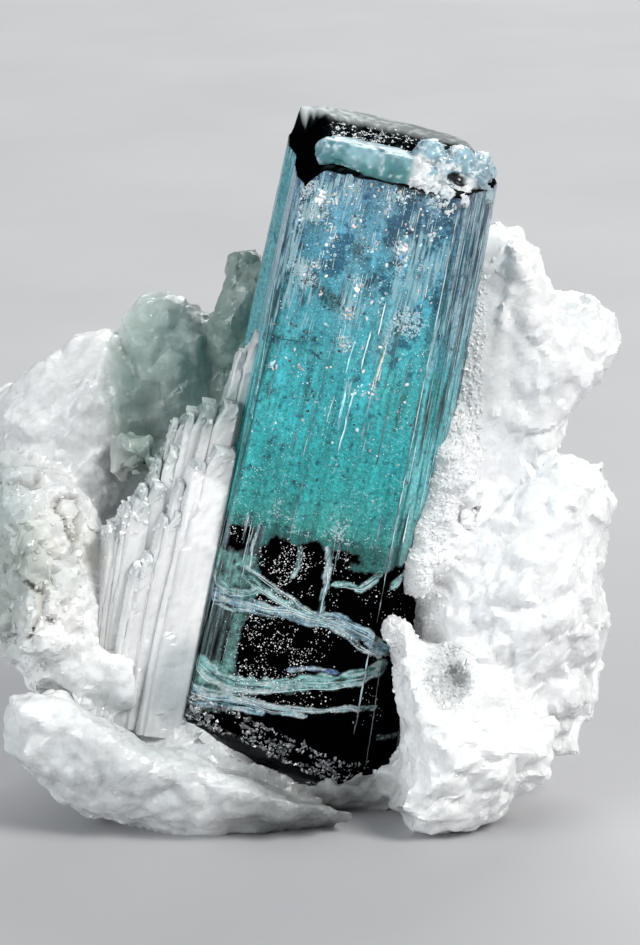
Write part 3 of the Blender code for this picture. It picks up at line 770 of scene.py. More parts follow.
# %% Where the prism glitters, is streaked and is mottled
def marks_on(s, w):
    """Three shares from 0 to 1 at each (s, w): glitter and silver streaks, which the material paints as
    glints, and dark mottles.
    """
    s = in_front(s)
    spots = flat(s, w)
    cap = smooth_step(30.0, 40.0, w)
    front = smooth_step(-1.5, 0.0, s) * smooth_step(11.5, 10.0, s)
    glitter = smooth_step(0.45, 0.75, clouds(spots * (1, 0.7, 1), 1.5, 83, 3)) * (0.5 + 0.5 * cap)
    low_glitter = smooth_step(0.4, 0.65, clouds(spots, 1.2, 85, 3))
    glitter += 0.35 * smooth_step(25.0, 20.5, w) * low_glitter
    for cluster in CLUSTERS:
        glitter = np.maximum(glitter, glow_of(cluster, s, w))
    streaks = smooth_step(0.40, 0.66, clouds(spots * (1, 0.35, 1), 1.6, 87, 3)) * (0.1 + 0.9 * cap)
    cyan = off_lines(s, w, [[(7.4, 36.5), (7.2, 27.5)], [(5.8, 33.0), (5.9, 28.0)]])
    streaks = np.maximum(streaks, 0.6 * smooth_step(0.6, 0.1, cyan))
    mottles = smooth_step(0.42, 0.66, clouds(spots * (1, 0.7, 1), 1.7, 89, 3)) * (0.12 + 0.88 * cap)
    alive = (w > BLACK_TOP) * (1 - 0.6 * smooth_step(45.6, 46.2, w))
    return np.column_stack([glitter * front * alive, streaks * alive, mottles * front * alive])


marks = marks_on(all_s, all_w) * (~on_top & ~on_foot)[:, None]
store_colours(prism_mesh, np.vstack([marks, np.zeros((2, 3))]), 1.0, "Marks")
print("glitter on", round(float((marks[:, 0] > 0.5).mean()) * 100, 1), "% of the points")

# %% [markdown]
# ## What tourmaline looks like
#
# The crystal is a clear solid: light goes in, is bent by an index of 1.63, is coloured on
# its way and comes out. Inclusions too small to see turn part of it back, which is why
# the teal glows; a share of plain reflection stands for them. Fine striae, too thin for
# the mesh, are a bump that runs along the prism.


# %% Node helpers
def new_material(name):
    made = bpy.data.materials.new(name)
    made.use_nodes = True
    tree = made.node_tree
    return made, tree, tree.nodes["Principled BSDF"]


def plug(tree, made, inputs):
    """Links each socket to its input, and sets each number there."""
    for key, value in inputs.items():
        if isinstance(value, bpy.types.NodeSocket):
            tree.links.new(value, made.inputs[key])
        else:
            made.inputs[key].default_value = value


def node(tree, kind, inputs=None, **settings):
    made = tree.nodes.new(kind)
    for key, value in settings.items():
        setattr(made, key, value)
    plug(tree, made, inputs or {})
    return made


def ramp(tree, value, *stops):
    """Tones at places from 0 to 1; a single number for a tone is a grey."""
    made = node(tree, "ShaderNodeValToRGB", {"Fac": value})
    elements = made.color_ramp.elements
    while len(elements) < len(stops):
        elements.new(0.5)
    for element, (place, tone) in zip(elements, stops):
        element.position = place
        element.color = (*np.broadcast_to(tone, 3), 1.0)
    return made.outputs["Color"]


def noise(tree, place, per_metre, detail, output="Fac"):
    """Noise from 0 to 1, with about so many blobs to the metre."""
    inputs = {"Vector": place, "Scale": per_metre, "Detail": detail}
    return node(tree, "ShaderNodeTexNoise", inputs).outputs[output]


def stretched(tree, place, share):
    """Coordinates that make what is drawn with them longer along z."""
    inputs = {"Vector": place, "Scale": (1.0, 1.0, share)}
    return node(tree, "ShaderNodeMapping", inputs).outputs["Vector"]


def bump(tree, height, strength, depth, under=None):
    """A bump so many metres deep, on top of another one where that is given."""
    inputs = {"Strength": strength, "Distance": depth, "Height": height}
    if under:
        inputs["Normal"] = under
    return node(tree, "ShaderNodeBump", inputs).outputs["Normal"]


def times(tree, colour, other):
    inputs = {"Factor": 1.0, 6: colour, 7: other}
    mix = node(tree, "ShaderNodeMix", inputs, data_type="RGBA", blend_type="MULTIPLY")
    return mix.outputs[2]


def over(tree, under, colour, share):
    """One colour laid over another by a share."""
    mix = node(tree, "ShaderNodeMix", {"Factor": share, 6: under, 7: colour}, data_type="RGBA")
    return mix.outputs[2]


def tint_of(tree):
    """The colour that the mesh itself carries."""
    return node(tree, "ShaderNodeAttribute", attribute_name="Tint").outputs["Color"]


# %% The crystal's material
def crystal_axes(tree):
    """Object coordinates turned so that z runs along the prism."""
    place = node(tree, "ShaderNodeTexCoord").outputs["Object"]
    turn = node(tree, "ShaderNodeMapping", {"Vector": place})
    turn.inputs["Rotation"].default_value = (math.radians(-3.0), math.radians(-12.2), 0.0)
    return turn.outputs["Vector"]


def crowded(tree, noise, share, pull, low, high):
    """Spots where a noise passes a threshold, more of them where the share is high."""
    inputs = {0: share, 1: pull, 2: noise}
    level = node(tree, "ShaderNodeMath", inputs, operation="MULTIPLY_ADD")
    return ramp(tree, level.outputs[0], (low, 0.0), (high, 1.0))


def hazy_share(tree, haze, tint):
    """The haze, but none where the crystal is black."""
    green = node(tree, "ShaderNodeSeparateColor", {0: tint}).outputs[1]
    lit = ramp(tree, green, (0.05, 0.0), (0.25, 1.0))
    return node(tree, "ShaderNodeMath", {0: haze, 1: lit}, operation="MULTIPLY").outputs[0]


def tourmaline():
    made, tree, shader = new_material("tourmaline")
    tint = node(tree, "ShaderNodeAttribute", attribute_name="Tint")
    marks = node(tree, "ShaderNodeAttribute", attribute_name="Marks")
    share = node(tree, "ShaderNodeSeparateColor", {0: marks.outputs["Color"]})
    glitter, silvered, mottles = share.outputs[0], share.outputs[1], share.outputs[2]
    axes = crystal_axes(tree)
    long_lines = stretched(tree, axes, 0.03)
    short_lines = stretched(tree, axes, 0.10)
    streaks = noise(tree, long_lines, 5200.0, 4.0)
    dashes = noise(tree, short_lines, 5600.0, 2.0)
    flecks = noise(tree, axes, 3600.0, 3.0)
    mist = noise(tree, axes, 8200.0, 2.0)
    cloud = noise(tree, axes, 1500.0, 4.0)

    # Fine lines and mist everywhere, dark mottles, then silver dashes and the glitter: painted glints.
    tone = ramp(tree, streaks, (0.3, 0.86), (0.5, 1.0), (0.72, 1.16))
    grainy = ramp(tree, mist, (0.33, 0.72), (0.5, 0.98), (0.68, 1.18))
    uneven = ramp(tree, flecks, (0.34, 0.74), (0.5, 1.0), (0.66, 1.28))
    colour = times(tree, times(tree, tint.outputs["Color"], tone), grainy)
    colour = times(tree, colour, uneven)
    haze = ramp(tree, mist, (0.52, 0.0), (0.72, 0.5))
    haze = hazy_share(tree, haze, tint.outputs["Color"])
    colour = over(tree, colour, (0.26, 0.62, 0.64, 1.0), haze)
    mottled = crowded(tree, cloud, mottles, 0.25, 0.58, 0.70)
    shaded = times(tree, colour, (0.25, 0.34, 0.42, 1.0))
    colour = over(tree, colour, shaded, mottled)
    silver = crowded(tree, dashes, silvered, 0.30, 0.74, 0.84)
    colour = over(tree, colour, (0.45, 0.72, 0.80, 1.0), silver)
    pale = crowded(tree, flecks, glitter, 0.34, 0.78, 0.88)
    colour = over(tree, colour, (0.50, 0.78, 0.86, 1.0), pale)
    bright = crowded(tree, mist, glitter, 0.32, 0.80, 0.86)
    colour = over(tree, colour, (0.92, 0.98, 1.0, 1.0), bright)

    grooves = bump(tree, streaks, 0.35, 0.00004)
    pits = bump(tree, flecks, 0.25, 0.00003, grooves)
    rough = ramp(tree, flecks, (0.35, 0.05), (0.65, 0.2))
    frosted = node(tree, "ShaderNodeMix", {"Factor": tint.outputs["Alpha"], 2: rough, 3: 0.75})
    plug(tree, shader, {
        "Base Color": colour, "Normal": pits, "Roughness": frosted.outputs[0],
        "IOR": TOURMALINE_IOR, "Specular IOR Level": 0.05, "Transmission Weight": 0.5,
    })  # fmt: skip
    return made


crystal = piece("indicolite_prism", prism_mesh, tourmaline())
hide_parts("indicolite_crystal")

# %% [markdown]
# ## Healed cracks
#
# The bands are painted on the prism's side, fibres and all. Thin strips laid just proud of
# the side, and bent with it, raise some of the fibres. A strip follows a path of (s, w),
# sways a little and tapers at its ends. The same strips serve for bright lines later.


# %% Strips on the prism's side
def strip(path, width, draw, across=7, lift=0.02, sway=0.1, ragged=0.6):
    """A strip along a path of (s, w): its points as (s, w, lift), faces, and the streak
    value of each point from 0 to 1."""
    path = np.asarray(path, dtype=float)
    lengths = np.concatenate([[0], np.cumsum(np.hypot(*np.diff(path, axis=0).T))])
    spacing = 0.08 if width > 0.1 else 0.16
    far = np.linspace(0, lengths[-1], max(14, int(lengths[-1] / spacing)))
    s, w = np.interp(far, lengths, path[:, 0]), np.interp(far, lengths, path[:, 1])
    blur = np.ones(7) / 7
    s[3:-3], w[3:-3] = np.convolve(s, blur, "valid"), np.convolve(w, blur, "valid")
    run_s, run_w = np.gradient(s), np.gradient(w)
    norm = np.hypot(run_s, run_w) + 1e-9
    start = draw.uniform(0, 500)
    one = flat(far + start)
    offset = 2 * sway * (clouds(one, 1.1, 201, 3) - 0.5)
    ends = smooth_step(0, 0.12, far / lengths[-1]) * smooth_step(1, 0.88, far / lengths[-1])
    low, high = (
        width * (0.5 + ragged * (clouds(one, 0.35, seed, 3) - 0.5)) * (0.25 + 0.75 * ends)
        for seed in (203, 205)
    )
    share = np.linspace(0, 1, across)
    reach = offset[:, None] - low[:, None] + share * (low + high)[:, None]
    grid_s = s[:, None] - reach * (run_w / norm)[:, None]
    grid_w = w[:, None] + reach * (run_s / norm)[:, None]
    bulge = lift + 0.25 * width * share * (1 - share) * (0.3 if width > 0.3 else 0.6)
    place = flat(np.repeat(far + start, across), reach.ravel() * 9)
    value = clouds(place * (0.6, 1.0, 1.0), 0.6, 207, 3)
    lifts = np.broadcast_to(bulge, reach.shape) + 0.02 * (value.reshape(reach.shape) - 0.5)
    points = np.stack([grid_s, grid_w, lifts], axis=-1).reshape(-1, 3)
    return points, grid_faces(len(far), across, False), value


def strips_mesh(name, strips, shades):
    """One mesh of many strips; shades has the colour of each strip."""
    points, faces = joined([(points, faces) for points, faces, _ in strips])
    value = np.concatenate([value for _, _, value in strips])
    shade = np.repeat(shades, [len(points) for points, _, _ in strips], axis=0)
    s, w, lift = points.T
    w = within_side(s, w)
    u, v, normal = section_at(s)
    at = to_world(flared(u + normal[:, 0] * lift, w), v + normal[:, 1] * lift, w)
    mesh = mesh_from(name, at, faces[:, ::-1])
    store_colours(mesh, shade * (0.35 + 1.6 * smooth_step(0.3, 0.7, value))[:, None])
    return mesh


def painted(name, roughness, seen_through=0.0, ior=1.5, gloss=0.5):
    """A material that takes its colour from the mesh alone."""
    made, tree, shader = new_material(name)
    plug(tree, shader, {
        "Base Color": tint_of(tree), "Roughness": roughness, "IOR": ior,
        "Transmission Weight": seen_through, "Specular IOR Level": gloss,
    })  # fmt: skip
    return made


# %% The fibres of the healed cracks
ICE = np.array([0.55, 0.75, 0.8])
BEND = 14  # Points of each fibre's path.
draw = np.random.default_rng(11)
strips, shades = [], []
for path, width, shade in BANDS:
    path = np.array(path)
    for _ in range(int(9 * width + 2)):
        low, high = np.sort(draw.uniform(-0.05, 1.05, 2))
        at = np.clip(np.linspace(low, high, BEND), 0, 1) * (len(path) - 1)
        part = np.column_stack([np.interp(at, np.arange(len(path)), path[:, k]) for k in (0, 1)])
        offset = draw.uniform(-0.55, 0.55) * width
        part[:, 1] += offset + 0.12 * draw.uniform(-1, 1) * np.linspace(-1, 1, BEND)
        strips.append(strip(part, draw.uniform(0.012, 0.04), draw, across=2, lift=0.02, sway=0.09))
        shades.append((0.45 * np.array(shade) + 0.55 * ICE) * draw.uniform(0.4, 2.0))
cracks = strips_mesh("healed cracks", strips, shades)
fibre = painted("healed fibre", 0.3, ior=1.6)
piece("indicolite_bands", cracks, fibre)

# %% [markdown]
# ## Bright lines, dust and glints
#
# Edges and striae catch the light as hair-thin lines; here they are strips painted as highlights,
# with painted shade in some grooves. White specks float behind the dark windows, and here they lie
# on the side instead, where a black skin can't hide them. In the blue cap small flat inclusions
# mirror the light, some of them in rainbow colours, because a film as thin as a wave of light
# splits it. They are flat flakes on the side too, and their glints are painted into their colour.

# %% Bright edges and striae
# Painted highlights along the edges and striae that catch the light.
EDGES = [
    ([(10.36, 46.0), (10.36, 25.0), (10.40, 15.2)], 0.05, 0.55),
    ([(10.3, 12.9), (10.36, 6.7)], 0.06, 0.5),
    ([(11.3, 12.3), (11.6, 8.4), (11.8, 4.2)], 0.08, 0.35),
    ([(-1.3, 45.4), (-1.45, 40.3), (-0.8, 35.5), (-0.3, 31.3), (0.0, 27.9)], 0.07, 0.65),
    ([(16.3, 45.0), (16.2, 30.0)], 0.07, 0.5), ([(14.6, 45.6), (14.6, 24.0)], 0.05, 0.35),
    ([(12.9, 45.0), (12.9, 30.0)], 0.05, 0.4), ([(11.55, 45.8), (11.5, 36.0)], 0.05, 0.5),
]  # fmt: skip
# Groups of short striae: how many, between which s and which w, and how bright. The bright
# ones are painted highlights; the near-black group on the right bevel is painted shade in the grooves.
STRIAE = [
    (26, -1.4, 1.9, 6.0, 21.0, 0.42), (64, 10.5, 16.4, 20.0, 46.0, 0.8),
    (40, 10.5, 16.4, 20.0, 46.0, 0.04), (26, 0.3, 10.0, 20.0, 46.0, 0.3),
    (6, 5.8, 8.0, 14.5, 20.5, 0.3), (8, 42.0, 46.5, 20.0, 46.0, 0.2),
]  # fmt: skip
# Single marks with their own colour: bright needles, dark cracks and two grey ledges.
NEEDLES = [
    ([(7.6, 34.4), (7.5, 33.1), (7.45, 32.2)], 0.14, (0.6, 0.72, 0.62)),
    ([(5.75, 31.2), (5.8, 28.6)], 0.16, (0.30, 0.72, 0.95)),
    ([(6.3, 31.4), (6.2, 26.8)], 0.12, (0.35, 0.80, 0.95)),
    ([(5.1, 30.7), (5.0, 28.7)], 0.1, (0.45, 0.85, 0.90)),
    ([(6.5, 35.8), (6.4, 32.9)], 0.1, (0.45, 0.80, 0.95)),
    ([(5.6, 34.8), (5.5, 32.4)], 0.08, (0.30, 0.65, 0.90)),
    ([(7.0, 37.9), (7.0, 35.5)], 0.08, (0.50, 0.80, 0.90)),
    ([(0.1, 33.8), (1.0, 33.8), (2.7, 34.0)], 0.05, (0.01, 0.08, 0.09)),
    ([(3.0, 33.4), (3.7, 33.0)], 0.07, (0.01, 0.04, 0.05)),
    ([(-1.0, 4.9), (1.1, 4.7), (3.5, 3.6), (5.5, 3.0)], 0.22, (0.36, 0.35, 0.36)),
    ([(-0.6, 5.5), (1.5, 5.2), (3.6, 4.3), (5.2, 3.9)], 0.16, (0.30, 0.32, 0.34)),
]  # fmt: skip
draw = np.random.default_rng(12)
strips, shades = [], []
for path, width, bright in EDGES:
    strips.append(strip(path, width, draw, across=3, lift=0.03, sway=0.02, ragged=1.1))
    shades.append(np.array([0.62, 0.78, 0.82]) * bright)
for count, left, right_end, low, high, bright in STRIAE:
    for _ in range(count):
        s, w = draw.uniform(left, right_end), draw.uniform(low, high)
        top = min(w + draw.uniform(0.8, 6.0), high)
        path = [(s, w), (s + draw.uniform(-0.03, 0.03), top)]
        strips.append(strip(path, draw.uniform(0.03, 0.06), draw, 2, 0.03, 0.02, 1.2))
        shades.append(np.array([0.55, 0.72, 0.78]) * bright * draw.uniform(0.4, 1.6))
# Short bright strips in the clusters: painted glints.
for s0, w0, wide, high, share in CLUSTERS:
    for _ in range(int(12 * share)):
        s, w = draw.normal(s0, 0.6 * wide), draw.normal(w0, 0.5 * high)
        path = [(s, w), (s, w + draw.uniform(0.2, 1.1))]
        strips.append(strip(path, draw.uniform(0.015, 0.035), draw, 2, 0.02, 0.02, 1.2))
        shades.append(np.array([0.66, 0.92, 1.0]) * draw.uniform(0.4, 1.2))
for path, width, shade in NEEDLES:
    strips.append(strip(path, width, draw, across=4, lift=0.03, sway=0.06))
    shades.append(np.array(shade))
lines_mesh = strips_mesh("bright lines", strips, shades)
bright_edge = painted("bright edge", 0.25, ior=1.6)
piece("indicolite_lines", lines_mesh, bright_edge)

# %% The shapes of specks and flakes
OCTAHEDRON = np.array([
    (1, 0, 0), (-1, 0, 0), (0, 1, 0), (0, -1, 0), (0, 0, 1), (0, 0, -1),
], dtype=float)  # fmt: skip
OCTAHEDRON_FACES = np.array([
    (0, 2, 4), (2, 1, 4), (1, 3, 4), (3, 0, 4), (2, 0, 5), (1, 2, 5), (3, 1, 5), (0, 3, 5),
])  # fmt: skip


def turned(count, draw):
    """Random rotations."""
    return rotations(draw.normal(size=(count, 4)))


FLAKE = np.array([
    (1.0, 0.2, 0), (0.35, 0.95, 0), (-0.55, 0.8, 0), (-1.0, -0.15, 0), (-0.4, -0.9, 0),
    (0.6, -0.85, 0), (0.1, 0.05, 1.0), (0.0, 0.0, -1.0),
])  # fmt: skip
rim = np.arange(6)
next_rim = (rim + 1) % 6
FLAKE_FACES = np.vstack([
    np.column_stack([rim, next_rim, np.full(6, 6)]),
    np.column_stack([next_rim, rim, np.full(6, 7)]),
])  # fmt: skip


def side_frames(s):
    """For each s, a frame of outward, along the prism, and across."""
    _, _, normal = section_at(s)
    out = np.outer(normal[:, 0], right) + np.outer(normal[:, 1], back)
    up = np.broadcast_to(along, out.shape)
    return np.stack([np.cross(up, out), up, out], axis=-1)


def kept(s, w, chance, draw):
    """The (s, w) that survive a draw with their own chance."""
    alive = draw.random(len(s)) < chance
    return s[alive], w[alive]


def on_side(s, w):
    """Those (s, w) that lie between the broken foot and the rim."""
    within = within_side(s, w) == w
    return s[within], w[within]


# %% Where the specks, glints and dark flecks lie
TRIES = 60000
draw = np.random.default_rng(13)
s, w = draw.uniform(-1, 17, TRIES), draw.uniform(5.5, 21.5, TRIES)
field = flat(s, w)
crowd = smooth_step(0.42, 0.62, clouds(field, 1.1, 301, 3)) * (0.25 + 0.75 * smooth_step(9, 6, s))
chance = 0.15 * darkness(s, w) * smooth_step(6.6, 8.4, w) * crowd
chance *= 1 - 0.8 * smooth_step(11, 12.5, s)
dust_s, dust_w = kept(s, w, chance, draw)
s, w = draw.uniform(0, 10.3, TRIES), draw.uniform(9, 46, TRIES)
field = flat(s, w)
crowd = smooth_step(0.5, 0.68, clouds(field * (1, 0.7, 1), 1.3, 311, 3))
chance = 0.11 + 0.04 * smooth_step(36, 44, w) + 0.07 * smooth_step(25, 20, w)
chance = chance * (0.25 + 0.75 * crowd) * (w > BLACK_TOP) * (within_side(s, w) == w)
seams = [[(1.9, 14.1), (2.0, 9.4)], [(2.0, 17.8), (2.1, 16.0)]]
chance += 0.09 * smooth_step(0.9, 0.3, off_lines(s, w, seams))
haze_s, haze_w = kept(s, w, chance, draw)

# Both lists: the middle (s, w) of each cluster and how many there are, in halves for glints.
GLINTS = [
    (1.3, 44.0, 34), (1.4, 42.7, 20), (2.2, 44.1, 12), (3.4, 45.1, 14), (5.8, 45.0, 9), (6.4, 45.1, 9),
    (5.9, 44.1, 10), (7.4, 43.2, 7), (9.0, 42.9, 12), (7.2, 41.7, 26), (1.9, 39.4, 12), (2.4, 42.4, 8),
    (2.7, 41.4, 12), (5.5, 38.5, 6), (4.7, 36.4, 16), (4.9, 34.4, 16), (0.6, 32.0, 9), (2.4, 32.0, 9),
    (6.3, 31.4, 9), (7.2, 31.4, 9), (5.5, 41.4, 12), (7.6, 41.1, 10), (6.4, 39.1, 8), (2.9, 40.4, 8),
    (3.9, 42.9, 10), (6.6, 37.9, 8), (8.7, 40.6, 10), (9.6, 44.9, 8), (0.4, 42.3, 9),
]  # fmt: skip
FLECKS = [
    (1.5, 38.2, 14), (2.7, 37.9, 22), (3.7, 37.2, 26), (3.2, 37.0, 16), (5.7, 39.3, 12), (6.2, 39.8, 8),
    (3.9, 38.7, 5), (4.5, 41.1, 12), (4.3, 43.2, 12), (7.7, 42.7, 8), (7.1, 40.3, 8), (3.4, 30.3, 14),
    (0.7, 30.1, 10), (2.96, 31.1, 6), (6.1, 32.6, 5), (2.4, 34.6, 6), (5.0, 45.2, 12), (7.6, 45.4, 12),
]  # fmt: skip
loose_glints, loose_flecks = 300, 150
glint_s = [draw.normal(s, 0.2, 2 * n) for s, _, n in GLINTS]
glint_s = np.concatenate(glint_s + [draw.uniform(-0.2, 10.2, loose_glints)])
glint_w = [draw.normal(w, 0.27, 2 * n) for _, w, n in GLINTS]
glint_w = np.concatenate(glint_w + [46 - 20 * draw.random(loose_glints) ** 1.6])
fleck_s = [draw.normal(s, 0.3, n) for s, _, n in FLECKS]
fleck_s = np.concatenate(fleck_s + [draw.uniform(0, 10.2, loose_flecks)])
fleck_w = [draw.normal(w, 0.3, n) for _, w, n in FLECKS]
fleck_w = np.concatenate(fleck_w + [draw.uniform(22, 45, loose_flecks)])
glint_s, glint_w = on_side(glint_s, glint_w)
fleck_s, fleck_w = on_side(fleck_s, fleck_w)

# %% Specks, glints and flecks as one mesh
all_spots, all_shades = [], []
SPECK, GLINT = (OCTAHEDRON, OCTAHEDRON_FACES, 0.45), (FLAKE, FLAKE_FACES, 0.14)


def scatter_on_side(s, w, low, high, stretch, shades, draw, lift=0.01, kind=SPECK):
    """Shapes on the side, low to high in half width and stretched along the prism; kind
    is their points, their faces and how thick they are."""
    shape, faces, thick = kind
    count = len(s)
    size = low + (high - low) * draw.random(count) ** 2.5
    longer = draw.uniform(0.7, 1.2, count) * stretch
    wider = draw.uniform(0.7, 1.2, count)
    sizes = size[:, None] * np.column_stack([wider, longer, np.full(count, thick)])
    angle = draw.normal(0, 0.5, count) + (draw.random(count) < 0.3) * math.pi / 2
    spin = np.zeros((count, 3, 3))
    spin[:, 0, 0], spin[:, 0, 1] = np.cos(angle), -np.sin(angle)
    spin[:, 1, 0], spin[:, 1, 1], spin[:, 2, 2] = np.sin(angle), np.cos(angle), 1
    spots = on_crystal(s, w, lift)
    all_spots.append(copies(shape, faces, spots, sizes, side_frames(s) @ spin))
    all_shades.append(np.repeat(shades, len(shape), axis=0))


dust_shade = np.array([0.97, 0.98, 1.0]) * draw.uniform(0.6, 1.1, (len(dust_s), 1))
scatter_on_side(dust_s, dust_w, 0.024, 0.068, 1.0, dust_shade, draw)
haze_shade = mixed((0.70, 0.92, 0.94), draw.random(len(haze_s)), (0.2, 0.5, 0.55))
scatter_on_side(haze_s, haze_w, 0.015, 0.05, 1.2, haze_shade, draw)

# Glints are painted reflections: most are white or pale blue, and a few are the colours of thin films.
FILMS = [(0.97, 1.0, 1.0)] * 16 + [(0.6, 0.88, 0.97)] * 16 + [(0.25, 0.55, 1.0)] * 2
FILMS = np.array(FILMS + [(1.0, 0.86, 0.6), (1.0, 0.76, 0.78)])
glint_shade = FILMS[draw.integers(0, len(FILMS), len(glint_s))]
glint_shade = glint_shade * draw.uniform(0.35, 1.03, (len(glint_s), 1))
scatter_on_side(glint_s, glint_w, 0.014, 0.12, 1.4, glint_shade, draw, 0.012, GLINT)

# Three bright patches of larger flakes: painted glints.
patch_s = draw.normal((7.2, 1.3, 4.9), (0.22, 0.16, 0.12), (14, 3)).T.ravel()
patch_w = draw.normal((41.7, 43.9, 38.3), (0.2, 0.3, 0.15), (14, 3)).T.ravel()
patch_shade = np.tile((1.0, 1.0, 0.97), (len(patch_s), 1))
scatter_on_side(patch_s, patch_w, 0.05, 0.15, 1.3, patch_shade, draw, 0.014, GLINT)
fleck_shade = np.tile((0.012, 0.03, 0.04), (len(fleck_s), 1))
scatter_on_side(fleck_s, fleck_w, 0.03, 0.12, 1.0, fleck_shade, draw)
# One mesh of the specks, flecks and flakes, the flakes with their painted glints.
speck_and_glint_points, speck_and_glint_faces = joined(all_spots)
speck_and_glint_mesh = mesh_from("dust", speck_and_glint_points, speck_and_glint_faces, smooth=False)
store_colours(speck_and_glint_mesh, np.vstack(all_shades))
inclusion_and_glint = painted("inclusion_and_glint", 0.3, ior=1.6)
piece("indicolite_inclusions_and_glints", speck_and_glint_mesh, inclusion_and_glint)
print("specks", len(dust_s), "haze", len(haze_s), "glints", len(glint_s), "flecks", len(fleck_s))

# %% [markdown]
# ## The rim
#
# A bar of clear tourmaline with rounded ends lies along the front of the top face, over
# crevices where a shadow is painted on the prism, and its whitest flecks are painted glints. To
# its right the crystal ended in a crust: rounded lumps of fine white grains that run down over
# the edge, round a black pit. Each is a union of ellipsoids, given an even mesh and roughened.

# %% Lumps melted together
ball_rows, ball_columns = 13, 16
latitude = np.linspace(-0.5, 0.5, ball_rows)[:, None] * math.pi * 0.99
longitude = np.arange(ball_columns) / ball_columns * 2 * math.pi
BALL = np.stack([
    np.cos(latitude) * np.cos(longitude), np.cos(latitude) * np.sin(longitude),
    np.broadcast_to(np.sin(latitude), (ball_rows, ball_columns)),
], axis=-1).reshape(-1, 3)  # fmt: skip
BALL_FACES = tube_faces(ball_rows, ball_columns)


def melted(ellipsoids, spacing):
    """An even mesh of a union of ellipsoids, given as rows of (u, v, w, three radii)."""
    rows = np.asarray(ellipsoids, dtype=float)
    frame_axes = np.tile(np.column_stack([right, back, along]), (len(rows), 1, 1))
    points, faces = copies(BALL, BALL_FACES, to_world(*rows[:, :3].T), rows[:, 3:], frame_axes)
    return even_mesh(mesh_from("melted", points, faces), spacing)


def local(points):
    """World points in the crystal's own u, v and w."""
    way = points - foot
    return np.column_stack([way @ right, way @ back, way @ along])


# %% The bar
# Its spine: (u, v, w), then the half width from front to back and the half height.
spine = np.array([
    (-5.0, -4.5, 46.75, 1.2, 0.95), (-4.4, -4.5, 46.95, 1.35, 1.12), (-3.2, -4.6, 47.05, 1.4, 1.1),
    (-2.2, -4.7, 46.95, 1.5, 1.3), (-1.2, -4.75, 46.8, 1.55, 1.5), (0.1, -4.8, 46.55, 1.55, 1.55),
    (0.7, -4.8, 46.55, 1.3, 1.3),
])  # fmt: skip
step = np.linspace(0, len(spine) - 1, 26)
bar = np.column_stack([np.interp(step, np.arange(len(spine)), spine[:, k]) for k in range(5)])
bar = np.column_stack([bar[:, :3], np.full(len(bar), 0.62), bar[:, 3:]])
bar_at, bar_triangles, bar_normals = melted(bar, 0.12)
bar_push = 0.8 * (clouds(bar_at, 1.1, 401, 3) - 0.5) + 0.26 * (clouds(bar_at, 0.4, 403, 2) - 0.5)
bar_at = relaxed(bar_at, bar_triangles, 2, 0.7) + bar_normals * (0.06 + bar_push)[:, None]
bar_local = local(bar_at)
flat_top = np.minimum(0, -0.65 * (bar_local[:, 2] - 47.75))
flat_front = np.maximum(0, 0.6 * (-5.7 - bar_local[:, 1]))
bar_at += np.outer(flat_top, along) + np.outer(flat_front, back)
bar_mesh = mesh_from("rim bar", bar_at, bar_triangles)
height = smooth_step(46.5, 48.1, bar_local[:, 2])
shade = mixed((0.10, 0.36, 0.36), 0.7 * height, (0.22, 0.42, 0.50))
# Clouds on it, each where its noise passes a threshold: dark, pale blue, and white flecks that are painted
# glints.
for low, high, size, seed, share, colour in (
    (0.5, 0.64, 1.5, 409, 0.6, (0.07, 0.22, 0.30)),
    (0.5, 0.66, 1.2, 405, 0.6, (0.50, 0.80, 0.90)),
    (0.65, 0.75, 0.6, 407, 0.8, (0.80, 0.96, 1.0)),
):  # fmt: skip
    shade = mixed(shade, smooth_step(low, high, clouds(bar_at, size, seed, 3)) * share, colour)
shade *= (0.6 + 0.8 * clouds(bar_at, 0.35, 413, 3))[:, None]
# Small white flecks: painted glints.
shade = mixed(shade, smooth_step(0.66, 0.76, clouds(bar_at, 0.35, 419, 2)) * 0.8, (0.85, 1.0, 1.0))
shade = mixed(shade, smooth_step(0.35, 0.95, bar_local[:, 0]) * 0.85, (0.92, 0.97, 1.0))
store_colours(bar_mesh, shade)
clear_rim = painted("clear rim", 0.35, seen_through=0.4, ior=TOURMALINE_IOR)
piece("rim_bar", bar_mesh, clear_rim)

# %% The crust
# Each row is a lump: (u, v, w) and its three radii.
CRUST = [
    (1.9, -2.3, 47.1, 1.2, 1.2, 1.5), (4.0, -1.8, 47.0, 1.2, 1.3, 1.5), (5.5, -1.2, 46.8, 1.0, 1.1, 1.4),
    (3.1, -4.1, 46.7, 1.1, 1.0, 1.2), (1.7, -5.0, 46.5, 0.9, 0.8, 1.0), (5.3, -2.9, 46.3, 0.9, 0.9, 1.0),
    (4.2, -4.7, 46.0, 0.8, 0.7, 0.9), (3.3, -5.75, 45.6, 0.7, 0.4, 0.9),
    (6.0, 0.9, 46.4, 0.9, 1.0, 0.8), (1.3, -5.5, 46.3, 0.75, 0.6, 0.7),
    (2.3, -5.75, 46.0, 0.7, 0.4, 0.5), (3.75, -5.85, 45.0, 0.28, 0.22, 0.75),
    (2.85, -5.9, 45.6, 0.3, 0.2, 0.5), (4.5, -5.7, 45.7, 0.45, 0.3, 0.45),
    (6.1, -3.3, 45.8, 0.5, 0.5, 0.6),
    (2.6, -3.4, 47.2, 0.7, 0.7, 0.7), (4.9, -3.8, 46.6, 0.7, 0.6, 0.7), (0.6, -3.4, 46.6, 0.9, 0.9, 0.8),
]  # fmt: skip
crust_at, crust_triangles, crust_normals = melted(CRUST, 0.13)
crust_at = relaxed(crust_at, crust_triangles, 1, 0.6)
crust_planes, _ = grain_planes(crust_at, 0.42, 411)
tiny_planes, tiny_number = grain_planes(crust_at, 0.2, 415)
crust_local = local(crust_at)
